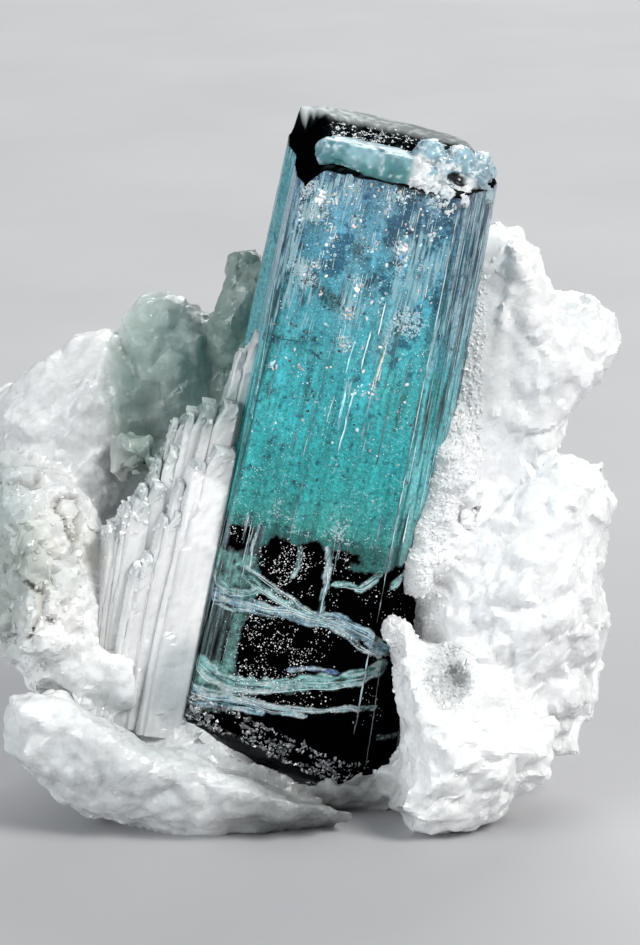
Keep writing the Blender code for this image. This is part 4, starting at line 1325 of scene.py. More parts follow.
pit = blob(crust_local, (3.95, -5.3, 46.9), (0.75, 1.3, 0.36), 0.5)
low_down = smooth_step(47.0, 46.2, crust_local[:, 2])
crust_push = (0.11 + 0.11 * low_down) * crust_planes + (0.04 + 0.06 * low_down) * tiny_planes
crust_push += 0.2 * (clouds(crust_at, 1.0, 417, 3) - 0.5) - 0.5 * pit
crust_at = crust_at + crust_normals * crust_push[:, None]
crust_mesh = mesh_from("crust", crust_at, crust_triangles, crease=50)
veins = 1 - np.abs(clouds(crust_local, 0.7, 423, 3) - 0.5) / 0.06
patch = smooth_step(0.48, 0.6, clouds(crust_local, 1.2, 421, 3))
white = np.clip(np.maximum(0.9 * smooth_step(0, 1, veins), patch) + 0.75 * low_down, 0, 1)
white *= 1 - 0.75 * smooth_step(4.9, 5.6, crust_local[:, 0]) * (crust_local[:, 2] < 47.6)
hollow = smooth_step(0.5, 0.62, clouds(crust_local, 0.8, 425, 3))
shade = mixed((0.38, 0.60, 0.70), 0.7 * hollow, (0.14, 0.22, 0.27))
shade = mixed(shade, white, (0.93, 0.98, 1.0))
shade *= (0.86 + 0.28 * tiny_number)[:, None]
shade = mixed(shade, smooth_step(0.15, 0.5, pit), (0.004, 0.005, 0.006))
store_colours(crust_mesh, shade)
frosted_crust = painted("frosted crust", 0.28, seen_through=0.3, ior=1.6)
piece("rim_crust", crust_mesh, frosted_crust)

# %% [markdown]
# ## The black faces
#
# Polished glass mirrors the pale room even where it is black, most of all where it is seen
# at a low angle, and would look grey there. The black parts are to look dull and deep, so
# they carry a skin of their own that mirrors nothing: a copy of the black faces of the
# prism's grid, a hundredth of a millimetre further out, and a copy of the whole top. Pale
# grains lie scattered on the top.


# %% The skin on the black faces
SIDE_LIFT, TOP_LIFT, BLACK_LIMIT = 0.008, 0.03, 0.02


def lifted(height):
    """The prism's grid, moved outwards by a height."""
    out_u, out_v = (np.tile(ring_normal[:, k], ring_rows) * height for k in (0, 1))
    return to_world(all_u + out_u, all_v + out_v, all_w)


black = (tint[:len(all_u), 1] < BLACK_LIMIT) & ~on_top
black_quads = prism_faces[black[prism_faces].all(axis=1)]
used, renumbered = np.unique(black_quads, return_inverse=True)
black_quads = renumbered.reshape(black_quads.shape)
black_at = lifted(SIDE_LIFT)[used]
black_faces = halved(black_quads)
skin_at = to_world(top_u.ravel(), top_v.ravel(), top_w.ravel() + TOP_LIFT)
skin_faces = halved(grid_faces(len(top_shrink), columns, closed=True))
skin_shade = basal[(len(foot_shrink) + rows) * columns:][:len(skin_at)]

# %% The grains on the top
GRAIN_TRIES = 14000
draw = np.random.default_rng(14)
u, v = draw.uniform(-5.0, 6.0, GRAIN_TRIES), draw.uniform(-3.5, 4.1, GRAIN_TRIES)
field = flat(u, v)
chance = smooth_step(0.42, 0.58, clouds(field, 0.35, 431, 3)) * smooth_step(4.1, 3.7, v)
chance = (0.45 + 0.4 * smooth_step(1.0, -2.0, u)) * chance * smooth_step(-5.0, -4.4, u)
u, v = kept(u, v, chance, draw)
size = 0.025 + 0.075 * draw.random(len(u)) ** 2
sizes, spots = np.repeat(size[:, None], 3, axis=1), to_world(u, v, top_height(u, v))
grains_at = copies(OCTAHEDRON, OCTAHEDRON_FACES, spots, sizes, turned(len(u), draw))
grain_shade = np.array([0.92, 0.98, 1.0]) * draw.uniform(0.3, 1.1, (len(u), 1))
grain_shade = np.repeat(grain_shade, len(OCTAHEDRON), axis=0)
dull_points, dull_faces = joined([(black_at, black_faces), (skin_at, skin_faces), grains_at])
dull = mesh_from("black faces", dull_points, dull_faces, crease=30)
store_colours(dull, np.vstack([tint[used], skin_shade, grain_shade]))
black_face = painted("black face", 0.5, ior=1.12, gloss=0.0)
piece("black_faces", dull, black_face)

# %% [markdown]
# ## The broken foot
#
# The prism was snapped from its base. Its lower edge is crushed to splinters, dark where
# they are thick and white where they are thin. They lie in rough rows, one above another.

# %% Splinters along the broken edge
SPLINTERS = 1500
ROWS_ABOVE = (0.1, 0.45, 0.8, 1.2, 1.7)
draw = np.random.default_rng(15)
s = draw.uniform(-1.5, 12.2, SPLINTERS)
base_u, base_v, _ = section_at(s)
above = draw.choice(ROWS_ABOVE, SPLINTERS) + draw.normal(0, 0.09, SPLINTERS)
w = foot_height(flared(base_u, 3.0), base_v) + above * smooth_step(-3.0, 1.0, s)
field = flat(s, w)
crowd = smooth_step(0.38, 0.62, clouds(field * (0.7, 1.6, 1.0), 1.1, 441, 3))
crowd *= 1 - 0.7 * smooth_step(10.0, 11.0, s)
s, w = kept(s, w, crowd, draw)
size = 0.04 + 0.17 * draw.random(len(s)) ** 2
splinters = size[:, None] * draw.uniform((0.8, 0.5, 0.6), (2.2, 1.0, 1.0), (len(s), 3))
spots, turns = on_crystal(s, w), turned(len(s), draw)
shape_at, shape_faces = copies(OCTAHEDRON, OCTAHEDRON_FACES, spots, splinters, turns)
thin = draw.random(len(s)) ** 1.1 * smooth_step(0.22, 0.11, size)
shade = mixed((0.03, 0.035, 0.04), thin, (0.90, 0.95, 0.98))
thick = 0.5 * smooth_step(0.07, 0.13, size) * draw.random(len(s))
shade = mixed(shade, thick, (0.30, 0.31, 0.32))
splinter_mesh = mesh_from("splinters", shape_at, shape_faces, smooth=False)
store_colours(splinter_mesh, np.repeat(shade, len(OCTAHEDRON), axis=0))
splinter = painted("splinter", 0.2, seen_through=0.2, ior=TOURMALINE_IOR)
piece("foot_splinters", splinter_mesh, splinter)

# %% [markdown]
# ## The rock: a mass of grown grains
#
# Albite fills its cavity with interlocking grains. Each ends in flat growth and cleavage
# faces of its own tilt, so the surface is a patchwork of small planes. Heaps of turned
# blocks in three sizes push the mesh in and out for the large grains, and a bump in the
# material does the same for the fine ones.


# %% The rock's body as an even mesh
def unflared(points):
    """(u, v, w) of world points, with u as it would be at the top of the prism."""
    u, v, w = local(points).T
    return np.where(u > 0, u / (1 + FLARE * (1 - w / PRISM_TOP)), u), v, w


def off_prism(points):
    """Distance of world points from the prism's side, negative inside it, and their w."""
    u, v, w = unflared(points)
    spots = np.column_stack([u, v])
    outward = zip(SECTION, side_normals)
    beyond = np.max([(spots - start) @ normal for start, normal in outward], axis=0)
    nearest = off_lines(u, v, [corners])
    return np.where(beyond < 0, -nearest, nearest), w


ROCK_SPACING = 0.302  # Just wide enough to stay under 200,000 triangles.
rock_at, rock_triangles, rock_normals = even_mesh(matrix_node.data, ROCK_SPACING)
print("rock:", len(rock_at), "points,", len(rock_triangles), "triangles")

# %% [markdown]
# The rock isn't the same all over. The two lobes on the right have the largest blocks, the
# near lump on the left is sugary, the far one and the long lump in front (a sill) were worn
# smoother, and the back is broken. Behind the plates the rock steps back to leave them room.
# Each region is a share from 0 to 1 that sets how strongly each size of grain shows.

# %% Regions of the rock
def rock_regions(points):
    x, y, z = points.T
    return {
        "blades": smooth_step(3.5, 5.5, z) * blob(points, (-8.0, -3.0, 17.0), (7.2, 4.2, 20.0), 0.2),
        "sugar": blob(points, (-18.2, -4.5, 16.0), (6.0, 7.5, 8.5)),
        "far": smooth_step(0.5, 2.0, y) * smooth_step(-5.0, -8.0, x) * smooth_step(15, 19, z),
        "sill": smooth_step(-4.0, -6.5, y) * smooth_step(6.0, 4.0, x) * smooth_step(13.0, 10.5, z),
        "rear": smooth_step(5.0, 8.0, y),
        "lobes": smooth_step(9.0, 11.5, x) * smooth_step(5.0, 2.0, y),
    }


# The apron beside the prism is evened out before anything is raised on it.
gap_to_prism, height_on_prism = off_prism(rock_at)
apron = smooth_step(4.5, 3.0, gap_to_prism) * smooth_step(0.2, 0.5, gap_to_prism)
apron = apron * smooth_step(2.0, 4.0, rock_at[:, 0])
apron *= smooth_step(1.0, 3.0, rock_at[:, 2])
rock_at = relaxed(rock_at, rock_triangles, 10, 0.6 * apron[:, None])
gap_to_prism, height_on_prism = off_prism(rock_at)
regions = rock_regions(rock_at)

# The lobes are bent up and down, so that no edge of theirs is straight.
bend = smooth_step(2.0, 5.0, gap_to_prism) * smooth_step(1.0, 3.0, rock_at[:, 2])
waves = clouds(rock_at * (0.4, 1.0, 0.4), 3.5, 173, 3) - 0.5
rock_at[:, 2] += 2.0 * bend * regions["lobes"] * waves

# Blocks in four sizes, a swell under them, and ledges.
LARGE, BROAD, MIDDLE, SMALL = 3.6, 5.4, 1.7, 0.8
large, _ = blocks(rock_at, LARGE, 101)
broad, _ = blocks(rock_at + 0.4 * np.sin(rock_at * 0.9), BROAD, 103)
large = LARGE * large * (1 - regions["lobes"]) + BROAD * broad * regions["lobes"]
middle, _ = blocks(rock_at, MIDDLE, 111)
small, grain_number = blocks(rock_at, SMALL, 121)
swell = clouds(rock_at, 6.0, 131, 3) - 0.5
calm = np.clip(regions["far"] + 0.9 * regions["sill"] + 0.6 * regions["lobes"], 0, 1)
push = 0.3 * swell
push += (0.42 - 0.12 * calm + 0.1 * regions["rear"] + 0.16 * regions["lobes"]) * large
push += (0.56 - 0.2 * calm + 0.1 * regions["sugar"] + 0.2 * regions["lobes"]) * MIDDLE * middle
push += (0.22 - 0.1 * calm + 0.14 * regions["sugar"]) * small
steps = ledges(rock_at, (-0.6, 0.25, 0.76), 2.3, 171)
push += 0.22 * steps * (1 - regions["sugar"]) * (1 - regions["sill"])
ridge = np.abs(clouds(rock_at, 5.0, 161, 3) - 0.5)
crevice = smooth_step(0.03, 0.0, ridge) * regions["sugar"]
push = np.clip(push, -0.7 + 0.45 * smooth_step(4.0, 2.0, gap_to_prism), 0.8)
push = push - 0.12 - 0.6 * regions["blades"] - 0.55 * crevice
near_prism = smooth_step(1.4, 0.45, gap_to_prism)
near_prism = near_prism * (height_on_prism < LIP_TOP) * (height_on_prism > 1.0)
push *= 1 - near_prism
shift = rock_normals * push[:, None]
shift[:, 2] *= smooth_step(0.0, 0.9, rock_at[:, 2])
rock_new = rock_at + shift

# Everything is smoothed a little, the worn parts more.
soft = 0.04 + 0.12 * regions["far"] + 0.1 * regions["sill"]
soft = soft * (1 - near_prism) * smooth_step(0.3, 1.2, rock_at[:, 2])
rock_new = relaxed(rock_new, rock_triangles, 1, soft[:, None])

# The wall of the socket closes on the prism, and the base stays flat.
SINK = 0.06  # How far the wall reaches into the prism, so that no gap shows.
u, v, _ = unflared(rock_new)
gap_now, _ = off_prism(rock_new)
touching = (gap_now > 0) * (gap_now < 0.75) * (height_on_prism > 0.5) * (height_on_prism < LIP_TOP)
toward = np.column_stack([u, v])
toward = toward / (np.linalg.norm(toward, axis=1)[:, None] + 1e-9)
shift = -(gap_now + SINK) * touching
rock_new += np.outer(toward[:, 0] * shift, right) + np.outer(toward[:, 1] * shift, back)
box_low, box_high = np.array(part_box("albite_matrix")[0]) / MM, np.array(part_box("albite_matrix")[1]) / MM
rock_new = np.clip(rock_new, box_low, box_high)
rock_new[:, 2] = np.where(rock_at[:, 2] < 0.16, 0.0, rock_new[:, 2])
print("moved by", round(float(push.min()), 2), "to", round(float(push.max()), 2), "mm")


# %% Tone of the albite
# Each tone: the middle of a blob, its three radii and what the white is multiplied by.
# Some of them are painted light and shade, marked where they stand.
TONES_AND_PAINTED_LIGHT = [
    ((16.0, -3.0, 24.0), (9.0, 9.0, 22.0), (0.96, 0.96, 0.97)),
    ((-17.0, 3.0, 26.0), (5.5, 8.0, 5.0), (0.74, 0.745, 0.75)),
    ((-16.0, -9.0, 14.0), (3.2, 5.0, 2.4), (1.02, 1.02, 1.02)),
    ((-21.0, -5.0, 18.5), (2.8, 7.0, 8.0), (0.54, 0.60, 0.59)),
    ((-16.5, -7.0, 19.0), (3.4, 5.0, 3.0), (0.78, 0.80, 0.79)),
    # Painted shade low between the plates and the sill.
    ((-8.5, -4.8, 9.6), (2.2, 4.0, 3.2), (0.62, 0.66, 0.68)),
    ((-6.4, -1.5, 28.8), (2.8, 3.2, 2.2), (0.48, 0.60, 0.57)),
    ((-11.0, -1.5, 24.5), (2.6, 3.2, 3.6), (0.74, 0.79, 0.78)),
    ((-12.0, -9.0, 5.5), (11.0, 6.0, 4.5), (0.70, 0.72, 0.73)),
    ((0.5, -9.0, 2.2), (6.5, 5.0, 3.6), (0.26, 0.27, 0.27)),
    # Painted shadow on the socket floor under the prism's foot.
    ((0.0, -4.2, 2.4), (6.5, 2.6, 2.6), (0.05, 0.05, 0.055)),
    ((-11.5, 1.5, 24.0), (2.0, 3.0, 2.6), (0.45, 0.44, 0.42)),
    # Painted light on the wall right of the prism, where the crystal casts its shadow.
    ((13.0, -2.0, 37.5), (2.6, 5.0, 4.2), (1.06, 1.06, 1.05)),
    ((13.0, -3.0, 25.0), (4.6, 4.0, 2.2), (0.96, 0.965, 0.98)),
    ((19.5, -1.0, 35.0), (2.0, 4.0, 1.6), (0.85, 0.87, 0.88)),
]  # fmt: skip
CAVITY = (10.0, -9.0, 11.4)  # The middle of the small cavity at the lower right.


def albite_tone(points, number):
    """Linear colour: white, creamy or grey by region, a little different in each grain, with painted light
    and shade in places.
    """
    cloud = clouds(points, 5.0, 141, 4)
    tone = np.array([0.85, 0.855, 0.85]) * (0.91 + 0.18 * cloud[:, None])
    cream = blob(points, (-18.0, -5.5, 15.5), (4.4, 6.5, 6.5), 0.6) * smooth_step(0.4, 0.6, cloud)
    tone = tone * (1 - cream[:, None] * np.array([0.05, 0.08, 0.12]))
    for centre, radii, shade in TONES_AND_PAINTED_LIGHT:
        near = blob(points, centre, radii, 0.9) * (0.8 + 0.4 * cloud)
        tone = tone * (1 - near[:, None] * (1 - np.array(shade)))

    # Clear albite behind the crystal, darkened to a greenish grey: painted shade and a painted reflection
    # of the green tourmaline.
    clear = blob(points, (-10.0, 5.0, 28.5), (3.6, 8.0, 7.5), 0.6)
    behind = blob(points, (-4.4, 8.5, 31.0), (3.6, 4.5, 8.0), 0.5)
    clear = np.maximum(clear, 1.25 * behind)
    clear = np.clip(clear * (0.75 + 0.5 * (cloud - 0.5)), 0, 1)[:, None]
    tone = tone * (1 - clear) + np.array([0.33, 0.44, 0.39]) * (1 - 0.3 * behind[:, None]) * clear
    # Painted shade in the small cavity at the lower right.
    vug_shade = blob(points, CAVITY, (1.5, 3.5, 1.7), 0.8)[:, None]
    tone = tone * (1 - 0.5 * vug_shade) + np.array([0.34, 0.37, 0.37]) * 0.5 * vug_shade
    return np.clip(tone * (0.94 + 0.10 * number[:, None]), 0, 0.95)


rock_mesh = mesh_from("albite", rock_new, rock_triangles, crease=30)
shadow = 0.45 * crevice[:, None] * np.array([0.9, 0.95, 1.0])
store_colours(rock_mesh, albite_tone(rock_new, grain_number) * (1 - shadow))


# %% [markdown]
# ## What albite looks like
#
# Albite is white because its countless cleavage cracks scatter light. Light also travels a
# little inside it, which softens its shadows. A plane of random tilt in each cell of a
# Voronoi pattern stands for the fine grains, in two sizes. Some grains are glossier than
# others, which makes them sparkle one by one.


# %% Fine grains as a node group
def grain_group():
    """Outputs: Height, a tilted plane in each grain; Number, the grain's own value."""
    group = bpy.data.node_groups.new("fine_grains", "ShaderNodeTree")
    group.interface.new_socket("Vector", in_out="INPUT", socket_type="NodeSocketVector")
    group.interface.new_socket("Scale", in_out="INPUT", socket_type="NodeSocketFloat")
    group.interface.new_socket("Height", in_out="OUTPUT", socket_type="NodeSocketFloat")
    group.interface.new_socket("Number", in_out="OUTPUT", socket_type="NodeSocketFloat")
    entry, leave = group.nodes.new("NodeGroupInput"), group.nodes.new("NodeGroupOutput")

    def vectors(operation, inputs):
        return node(group, "ShaderNodeVectorMath", inputs, operation=operation)

    place, scale = entry.outputs["Vector"], entry.outputs["Scale"]
    scaled = vectors("SCALE", {0: place, "Scale": scale}).outputs[0]
    inputs = {"Vector": scaled, "Scale": 1.0}
    cells = node(group, "ShaderNodeTexVoronoi", inputs, feature="F1").outputs
    way = vectors("SUBTRACT", {0: scaled, 1: cells["Position"]})
    tilt = vectors("SUBTRACT", {0: cells["Color"], 1: (0.5, 0.5, 0.5)})
    plane = vectors("DOT_PRODUCT", {0: way.outputs[0], 1: tilt.outputs[0]})
    number = node(group, "ShaderNodeSeparateColor", {0: cells["Color"]})
    plug(group, leave, {"Height": plane.outputs["Value"], "Number": number.outputs[0]})
    return group


fine_grains = grain_group()
SCATTERED = (1.0, 1.0, 0.95)  # How far red, green and blue light spread in albite.


def grains_in(tree, place, per_metre):
    made = tree.nodes.new("ShaderNodeGroup")
    made.node_tree = fine_grains
    plug(tree, made, {"Vector": place, "Scale": per_metre})
    return made.outputs


# %% The albite's materials
def albite_material(name, coarse, fine, roughness, strength, scatter):
    """coarse and fine are grain sizes in millimetres."""
    made, tree, shader = new_material(name)
    paint = tint_of(tree)
    place = node(tree, "ShaderNodeTexCoord").outputs["Object"]
    waver = noise(tree, place, 900.0, 3.0, "Color")
    inputs = {0: waver, 1: (0.0006,) * 3, 2: place}
    bent = node(tree, "ShaderNodeVectorMath", inputs, operation="MULTIPLY_ADD").outputs[0]
    big = grains_in(tree, bent, 1000.0 / coarse)
    little = grains_in(tree, bent, 1000.0 / fine)
    speckle = ramp(tree, little["Number"], (0.0, 0.93), (0.55, 1.0), (1.0, 1.04))
    colour = times(tree, paint, speckle)
    planes = bump(tree, big["Height"], strength, coarse * 0.00035)
    planes = bump(tree, little["Height"], strength, fine * 0.0003, planes)
    gloss = ramp(tree, big["Number"], (0.0, roughness * 0.5), (1.0, roughness * 1.5))
    plug(tree, shader, {
        "Base Color": colour, "Normal": planes, "Roughness": gloss, "IOR": ALBITE_IOR,
        "Subsurface Weight": scatter, "Subsurface Radius": SCATTERED,
        "Subsurface Scale": 0.0007, "Transmission Weight": 0.0,
    })  # fmt: skip
    return made


massive_albite = albite_material("albite", 1.2, 0.4, roughness=0.34, strength=0.6, scatter=0.12)
rock = piece("albite_body", rock_mesh, massive_albite)
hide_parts("albite_matrix")

# %% [markdown]
# ## Cleavelandite
#
# Beside the prism the albite grew as thin plates, standing on edge and leaning with the
# crystal. Each is built as a thick leaf with a thinner one on its left, which ends lower and
# further back. Their heads are bevelled and step down towards the back, and their fronts
# have the low steps that cleavage leaves.

# %% Leaves of the plates
# Each plate: head (x, z), root (x, z), front y, thickness, depth and turn in degrees, from
# the rock's own corner of origin.
PLATES = [
    ((-2.9, 33.4), (-8.6, 7.0), -3.6, 1.6, 4.6, 4),
    ((-5.6, 25.9), (-10.0, 5.0), -5.6, 1.9, 5.0, 18),
    ((-5.2, 28.9), (-10.2, 7.0), -4.7, 1.5, 5.5, 6),
    ((-6.7, 28.7), (-10.9, 8.0), -4.1, 1.3, 5.2, 4),
    ((-7.9, 27.9), (-11.4, 9.0), -3.2, 1.3, 5.0, 0),
    ((-7.3, 24.3), (-10.9, 6.0), -5.1, 1.4, 5.0, 12),
    ((-9.0, 25.6), (-12.1, 8.0), -3.7, 1.2, 5.0, 7),
    ((-8.6, 21.4), (-11.6, 5.5), -5.4, 1.2, 4.4, 16),
    ((-10.1, 23.1), (-12.7, 8.0), -4.2, 1.2, 5.0, 10),
    ((-11.2, 21.9), (-13.2, 8.0), -4.4, 1.2, 4.6, 14),
    ((-12.3, 20.4), (-13.7, 8.0), -4.1, 1.2, 4.4, 18),
    ((-10.4, 18.2), (-12.6, 5.5), -5.5, 1.2, 4.0, 20),
]  # fmt: skip
ROCK_ORIGIN = np.array([0.06, 0.16, 0.5])
LEAF_FRONT = 7  # Points across the front of a ring.
LEAF_RING = LEAF_FRONT + 7
BACK_STEPS = np.array([(0.80, 0.82), (0.88, 0.66), (0.94, 0.48), (0.975, 0.34)])


def turned_by(x, y, angle):
    """Two coordinates turned about their origin, from the first towards the second."""
    cos, sin = math.cos(angle), math.sin(angle)
    return x * cos - y * sin, x * sin + y * cos


def leaf(head, root, front, offset, thickness, depth, twist, draw):
    """One leaf, as rings of points from root to head, and how far below the head each is.
    offset is its place across the plate. Its front is broken into small flat steps, its
    head is bevelled and cut slantwise on the left, and its back falls in steps."""
    head, root = np.array(head), np.array(root)
    length = np.linalg.norm(head - root)
    share = np.linspace(0, 1, int(length / 0.22))
    below = length * (1 - share)
    half = 0.5 * thickness * (1 - 0.05 * share)
    deep, reach = draw.uniform(0.3, 0.9), thickness * draw.uniform(0.6, 1.2)
    left_side = -half * (1 - deep * np.clip(1 - below / reach, 0, 1))
    for place, size in zip(draw.uniform(0.4, 0.96, 3), draw.uniform(0.03, 0.10, 3)):
        left_side = left_side + size * thickness * (share > place)
    bevel = np.clip(1 - below / 0.3, 0, 1)
    right_side = half * (1 - 0.15 * bevel)
    ahead = 0.16 * thickness * bevel + 0.1 * np.sin(share * draw.uniform(2, 5))
    behind = depth * np.ones_like(share)
    step_places = BACK_STEPS[:, 0] + draw.uniform(-0.02, 0.02, len(BACK_STEPS))
    for place, stay in zip(step_places, BACK_STEPS[:, 1]):
        behind = np.where(share > place, depth * stay, behind)
    behind = np.maximum(behind, ahead + 0.4)
    left_side = np.minimum(left_side, right_side - 0.5 * thickness)
    cut = np.minimum(0.05 + 0.07 * thickness, 0.2 * (right_side - left_side))
    across = np.linspace(0, 1, LEAF_FRONT)
    front_x = (left_side + cut)[:, None] + (right_side - left_side - 2 * cut)[:, None] * across
    lane = np.full(front_x.size, draw.uniform(0, 90))
    grain = np.column_stack([front_x.ravel(), lane, below.repeat(LEAF_FRONT) * 0.24])
    steps, _ = grain_planes(grain, 0.8, 521)
    crumbs, _ = grain_planes(grain * (1, 1, 3.0), 0.35, 523)
    crumbly = 0.05 + 0.10 * smooth_step(2.5, 0.5, below).repeat(LEAF_FRONT)
    relief = (0.14 * steps + crumbly * crumbs).reshape(front_x.shape)
    ring = np.concatenate([
        np.stack([front_x, ahead[:, None] + relief], axis=-1),
        np.stack([np.column_stack(place) for place in (
            (right_side, ahead + cut), (right_side, behind - cut), (right_side - cut, behind),
            (0 * half, behind), (left_side + cut, behind), (left_side, behind - cut),
            (left_side, ahead + cut),
        )], axis=1),
    ], axis=1)  # fmt: skip
    x, y = ring[:, :, 0] + offset, ring[:, :, 1]
    z = np.broadcast_to((share * length)[:, None], x.shape)
    x, y = turned_by(x, y, math.radians(twist))
    lean = math.atan2(head[0] - root[0], head[1] - root[1])
    z, x = turned_by(z, x, lean)
    spots = np.stack([x + root[0], y + front, z + root[1]], axis=-1).reshape(-1, 3) + ROCK_ORIGIN
    return spots, tube_faces(len(share), LEAF_RING), below.repeat(LEAF_RING)


draw = np.random.default_rng(31)
leaves, leaf_tones, below_head = [], [], []
for head, root, front, thickness, depth, twist in PLATES:
    way = np.array(head) - np.array(root)
    way /= np.linalg.norm(way)
    # The plate itself, then a thinner leaf on its left, lower and a little further back.
    top = np.array(head) - way * draw.uniform(0.5, 1.6)
    made = [
        (head, front - 0.12, 0.05 * thickness, 1.5 * thickness, depth),
        (top, front + 0.1, -0.62 * thickness, 0.55 * thickness, 0.8 * depth),
    ]
    for top, reach, place, thick, deep in made:
        leaf_points, leaf_faces, below = leaf(top, root, reach, place, thick, deep, twist, draw)
        leaves.append((leaf_points, leaf_faces))
        leaf_tones.append(np.full(len(leaf_points), draw.uniform(0.0, 1.0)))
        below_head.append(below)
plate_at, plate_triangles = joined(leaves)
plate_at = np.clip(plate_at, box_low, box_high)
leaf_mesh = mesh_from("cleavelandite", plate_at, plate_triangles, crease=32)

# %% Tone of the plates
tone = albite_tone(plate_at, np.concatenate(leaf_tones)) * 1.10

# One cleavage face of the front plate is painted brighter, a painted reflection of the light; the
# head above it is frosted grey. The others have icy heads.
front_head, front_root = (np.array(end) + ROCK_ORIGIN[[0, 2]] for end in PLATES[1][:2])
climb = (plate_at[:, 2] - front_root[1]) / (front_head[1] - front_root[1])
slant = climb + 0.030 * (plate_at[:, 0] - front_head[0])
off_middle = plate_at[:, 0] - front_root[0] - climb * (front_head - front_root)[0]
on_front_plate = (plate_at[:, 1] < -3.6) * (np.abs(off_middle) < 1.7)
painted_reflection_face = smooth_step(0.63, 0.65, slant) * smooth_step(0.885, 0.87, slant)
painted_reflection_face = painted_reflection_face * on_front_plate
grey_head = smooth_step(0.87, 0.885, slant) * on_front_plate
below_head = np.concatenate(below_head)
icy = smooth_step(2.2, 0.2, below_head + 0.8 * (clouds(plate_at, 0.8, 541, 3) - 0.5))
tone = tone * (1 - (0.30 * icy * (1 - painted_reflection_face))[:, None] * np.array([1.0, 0.88, 0.86]))
tone = np.clip(tone * (0.86 + 0.3 * painted_reflection_face - 0.14 * grey_head)[:, None], 0, 0.95)
store_colours(leaf_mesh, tone)


# %% The plates' material
def plate_material():
    """Satin: faint lines along the plates and tiny pits."""
    made, tree, shader = new_material("cleavelandite")
    paint = tint_of(tree)
    axes = crystal_axes(tree)
    long_lines = stretched(tree, axes, 0.12)
    lines = noise(tree, long_lines, 2200.0, 3.0)
    pits = noise(tree, axes, 4200.0, 3.0)
    shade = ramp(tree, lines, (0.3, 0.93), (0.7, 1.05))
    colour = times(tree, paint, shade)
    satin = bump(tree, lines, 0.3, 0.00008)
    satin = bump(tree, pits, 0.25, 0.00005, satin)
    gloss = ramp(tree, pits, (0.35, 0.22), (0.65, 0.5))
    plug(tree, shader, {
        "Base Color": colour, "Normal": satin, "Roughness": gloss, "IOR": ALBITE_IOR,
        "Subsurface Weight": 0.3, "Subsurface Radius": SCATTERED, "Subsurface Scale": 0.0008,
    })  # fmt: skip
    return made


piece("cleavelandite_plates", leaf_mesh, plate_material())

# %% [markdown]
# ## Sugar
#
# Small albite crystals cover much of the rock: blocky, a tenth to half a millimetre, each
# with a flat six-sided body and a bevelled end. They crowd along the crystal's edge, on the
# near lump at the left and in the small cavity at the right. A few larger ones fill a slot
# between the rock and the prism.

# %% The shape of a small crystal
hexagon = np.array([
    (1.0, 0.15), (0.45, 0.62), (-0.5, 0.6), (-1.0, -0.1), (-0.45, -0.62), (0.5, -0.6),
])  # fmt: skip
GRAIN = np.vstack([
    np.column_stack([hexagon, np.full(6, -1.0)]),
    np.column_stack([hexagon, np.full(6, 0.55)]),
    np.column_stack([hexagon * 0.55 + (0.1, 0.05), np.full(6, 1.0)]),
])  # fmt: skip
GRAIN_FACES = tube_faces(3, 6)


def scattered(count, weights, source, triangles, normals, draw):
    """Random places on a mesh, more of them where the weight of a triangle is high."""
    a, b, c = (source[triangles[:, k]] for k in range(3))
    area = np.linalg.norm(np.cross(b - a, c - a), axis=1)
    chance = area * weights
    picked = draw.choice(len(triangles), size=count, p=chance / chance.sum())
    first, second = draw.random((2, count))
    flip = first + second > 1
    first, second = np.where(flip, 1 - first, first), np.where(flip, 1 - second, second)
    spots = a[picked] + first[:, None] * (b - a)[picked] + second[:, None] * (c - a)[picked]
    return spots, normals[triangles[picked, 0]]


# %% Small crystals on the rock and on the plates
ON_ROCK, ON_PLATES, IN_SLOT = 5000, 700, 60
draw = np.random.default_rng(41)
middles = rock_new[rock_triangles].mean(axis=1)
region_at = {name: share[rock_triangles[:, 0]] for name, share in regions.items()}
gap_at, _ = off_prism(middles)
edge = smooth_step(2.6, 0.8, gap_at) * (gap_at > 0.15) * (middles[:, 0] > 0)
edge = edge * smooth_step(3.0, 1.0, middles[:, 1])
edge *= rock_normals[rock_triangles[:, 0], 1] < 0.35
cavity = blob(middles, CAVITY, (1.8, 4.0, 2.0))
weights = 0.02 + 0.5 * region_at["sugar"] + 9.0 * edge + 5.0 * cavity
weights *= 1 - 0.95 * region_at["blades"]
weights *= 1 - 0.97 * region_at["lobes"] * (middles[:, 0] > 12.5)
weights *= (1 - 0.8 * region_at["sill"]) * (1 - 0.8 * region_at["far"]) * (gap_at > 0.2)
weights *= smooth_step(0.8, 2.0, middles[:, 2])
spots, outward = scattered(ON_ROCK, weights, rock_new, rock_triangles, rock_normals, draw)

# More of them on the plates, towards the left and near the heads.
plate_middles = plate_at[plate_triangles].mean(axis=1)
weights = 0.1 + 0.9 * smooth_step(-7.5, -11.0, plate_middles[:, 0])
weights = weights * smooth_step(3.5, 0.8, below_head[plate_triangles[:, 0]])
plate_out = np.tile(np.array([(-0.3, -0.9, 0.3)]), (len(plate_at), 1))
more, more_out = scattered(ON_PLATES, weights, plate_at, plate_triangles, plate_out, draw)
in_slot = draw.normal((11.35, -3.3, 20.85), (0.3, 0.3, 0.4), (IN_SLOT, 3))
spots = np.vstack([spots, more, in_slot])
outward = np.vstack([outward, more_out, np.zeros_like(in_slot)])
beside_prism, _ = off_prism(spots)
size = 0.07 + 0.16 * draw.random(len(spots)) ** 2.2
size = size * (0.75 + 0.25 * smooth_step(0.8, 3.0, beside_prism))
size[-IN_SLOT:] = draw.uniform(0.25, 0.5, IN_SLOT)
sizes = size[:, None] * draw.uniform((0.8, 0.8, 0.7), (1.2, 1.2, 1.5), (len(spots), 3))
sunk = spots - outward * size[:, None] * 0.4
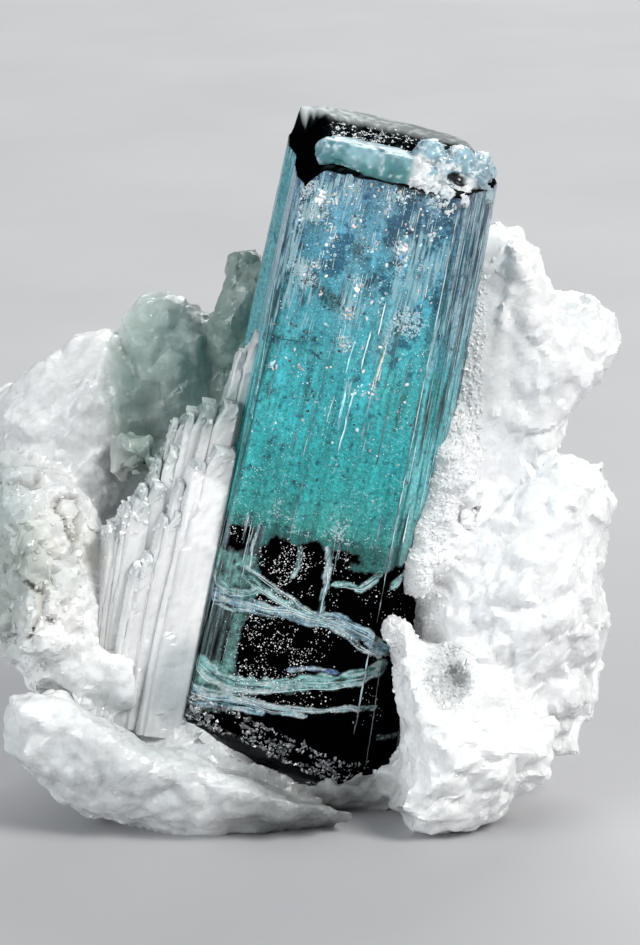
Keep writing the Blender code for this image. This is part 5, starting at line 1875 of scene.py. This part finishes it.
sugar_at, sugar_faces = copies(GRAIN, GRAIN_FACES, sunk, sizes, turned(len(spots), draw))
sugar_at = np.clip(sugar_at, box_low, box_high)
grain_mesh = mesh_from("sugar", sugar_at, sugar_faces, smooth=False)
number = np.repeat(draw.random(len(spots)), len(GRAIN))
store_colours(grain_mesh, albite_tone(sugar_at, number) * 1.05)
sugar_albite = albite_material("sugar", 0.6, 0.2, roughness=0.2, strength=0.2, scatter=0.25)
piece("albite_sugar", grain_mesh, sugar_albite)

# %% [markdown]
# ## Floor, light and camera
#
# A pale floor, a soft key light from the upper right, a wider and weaker one from the left
# that fills its shadows, one from behind for the edges, and a pale sky. The camera has a
# long lens and looks down by sixteen degrees.


# %% Floor
def floor_material():
    made, tree, shader = new_material("floor")
    place = node(tree, "ShaderNodeTexCoord").outputs["Object"]
    mottle = noise(tree, place, 30.0, 3.0)
    shade = ramp(tree, mottle, (0.3, (0.40, 0.40, 0.41)), (0.7, (0.43, 0.43, 0.44)))
    plug(tree, shader, {"Base Color": shade, "Roughness": 0.8})
    return made


FLOOR_HALF = 3000.0
floor_points = np.array([(-1, -1, 0), (1, -1, 0), (1, 1, 0), (-1, 1, 0)]) * FLOOR_HALF
floor_mesh = mesh_from("floor", floor_points, [[0, 1, 2, 3]], smooth=False)
floor = added("floor", floor_mesh)
floor.data.materials.append(floor_material())


# %% Lights
def look(obj, place, way):
    """Stands a light or a camera at a place in metres and turns it to look along a way."""
    obj.location = Vector(place)
    obj.rotation_mode = "QUATERNION"
    obj.rotation_quaternion = Vector(way).to_track_quat("-Z", "Y")


def area_light(name, place, aim, size, power, colour):
    lamp = bpy.data.lights.new(name, "AREA")
    lamp.shape = "RECTANGLE"
    lamp.size, lamp.size_y = size[0] * MM, size[1] * MM
    lamp.energy, lamp.color = power, colour
    look(added(name, lamp), Vector(place) * MM, Vector(aim) - Vector(place))


area_light("key", (760, -600, 920), (2, 0, 20), (460, 460), 16.5, (1.0, 0.99, 0.97))
area_light("fill", (-920, -680, 520), (0, 0, 20), (760, 760), 8.5, (0.93, 0.97, 1.0))
area_light("rim", (240, 920, 680), (0, 0, 25), (800, 480), 8.0, (1.0, 1.0, 1.0))

world = bpy.data.worlds.new("studio")
world.use_nodes = True
sky = world.node_tree.nodes["Background"]
plug(world.node_tree, sky, {"Color": (0.75, 0.79, 0.83, 1.0), "Strength": 0.35})
bpy.context.scene.world = world
bpy.context.scene.view_settings.view_transform = "Standard"

# %% Camera
target, distance = np.array([1.26, 0.16, 23.1]), 248.0
tilt = math.radians(16.0)
away = np.array([0.0, math.cos(tilt), -math.sin(tilt)])
lens = bpy.data.cameras.new("camera")
lens.lens, lens.sensor_width = 135.0, 36.0
lens.clip_start, lens.clip_end = 0.01, 20.0
camera = added("camera", lens)
look(camera, (target - away * distance) * MM, away)
bpy.context.scene.camera = camera
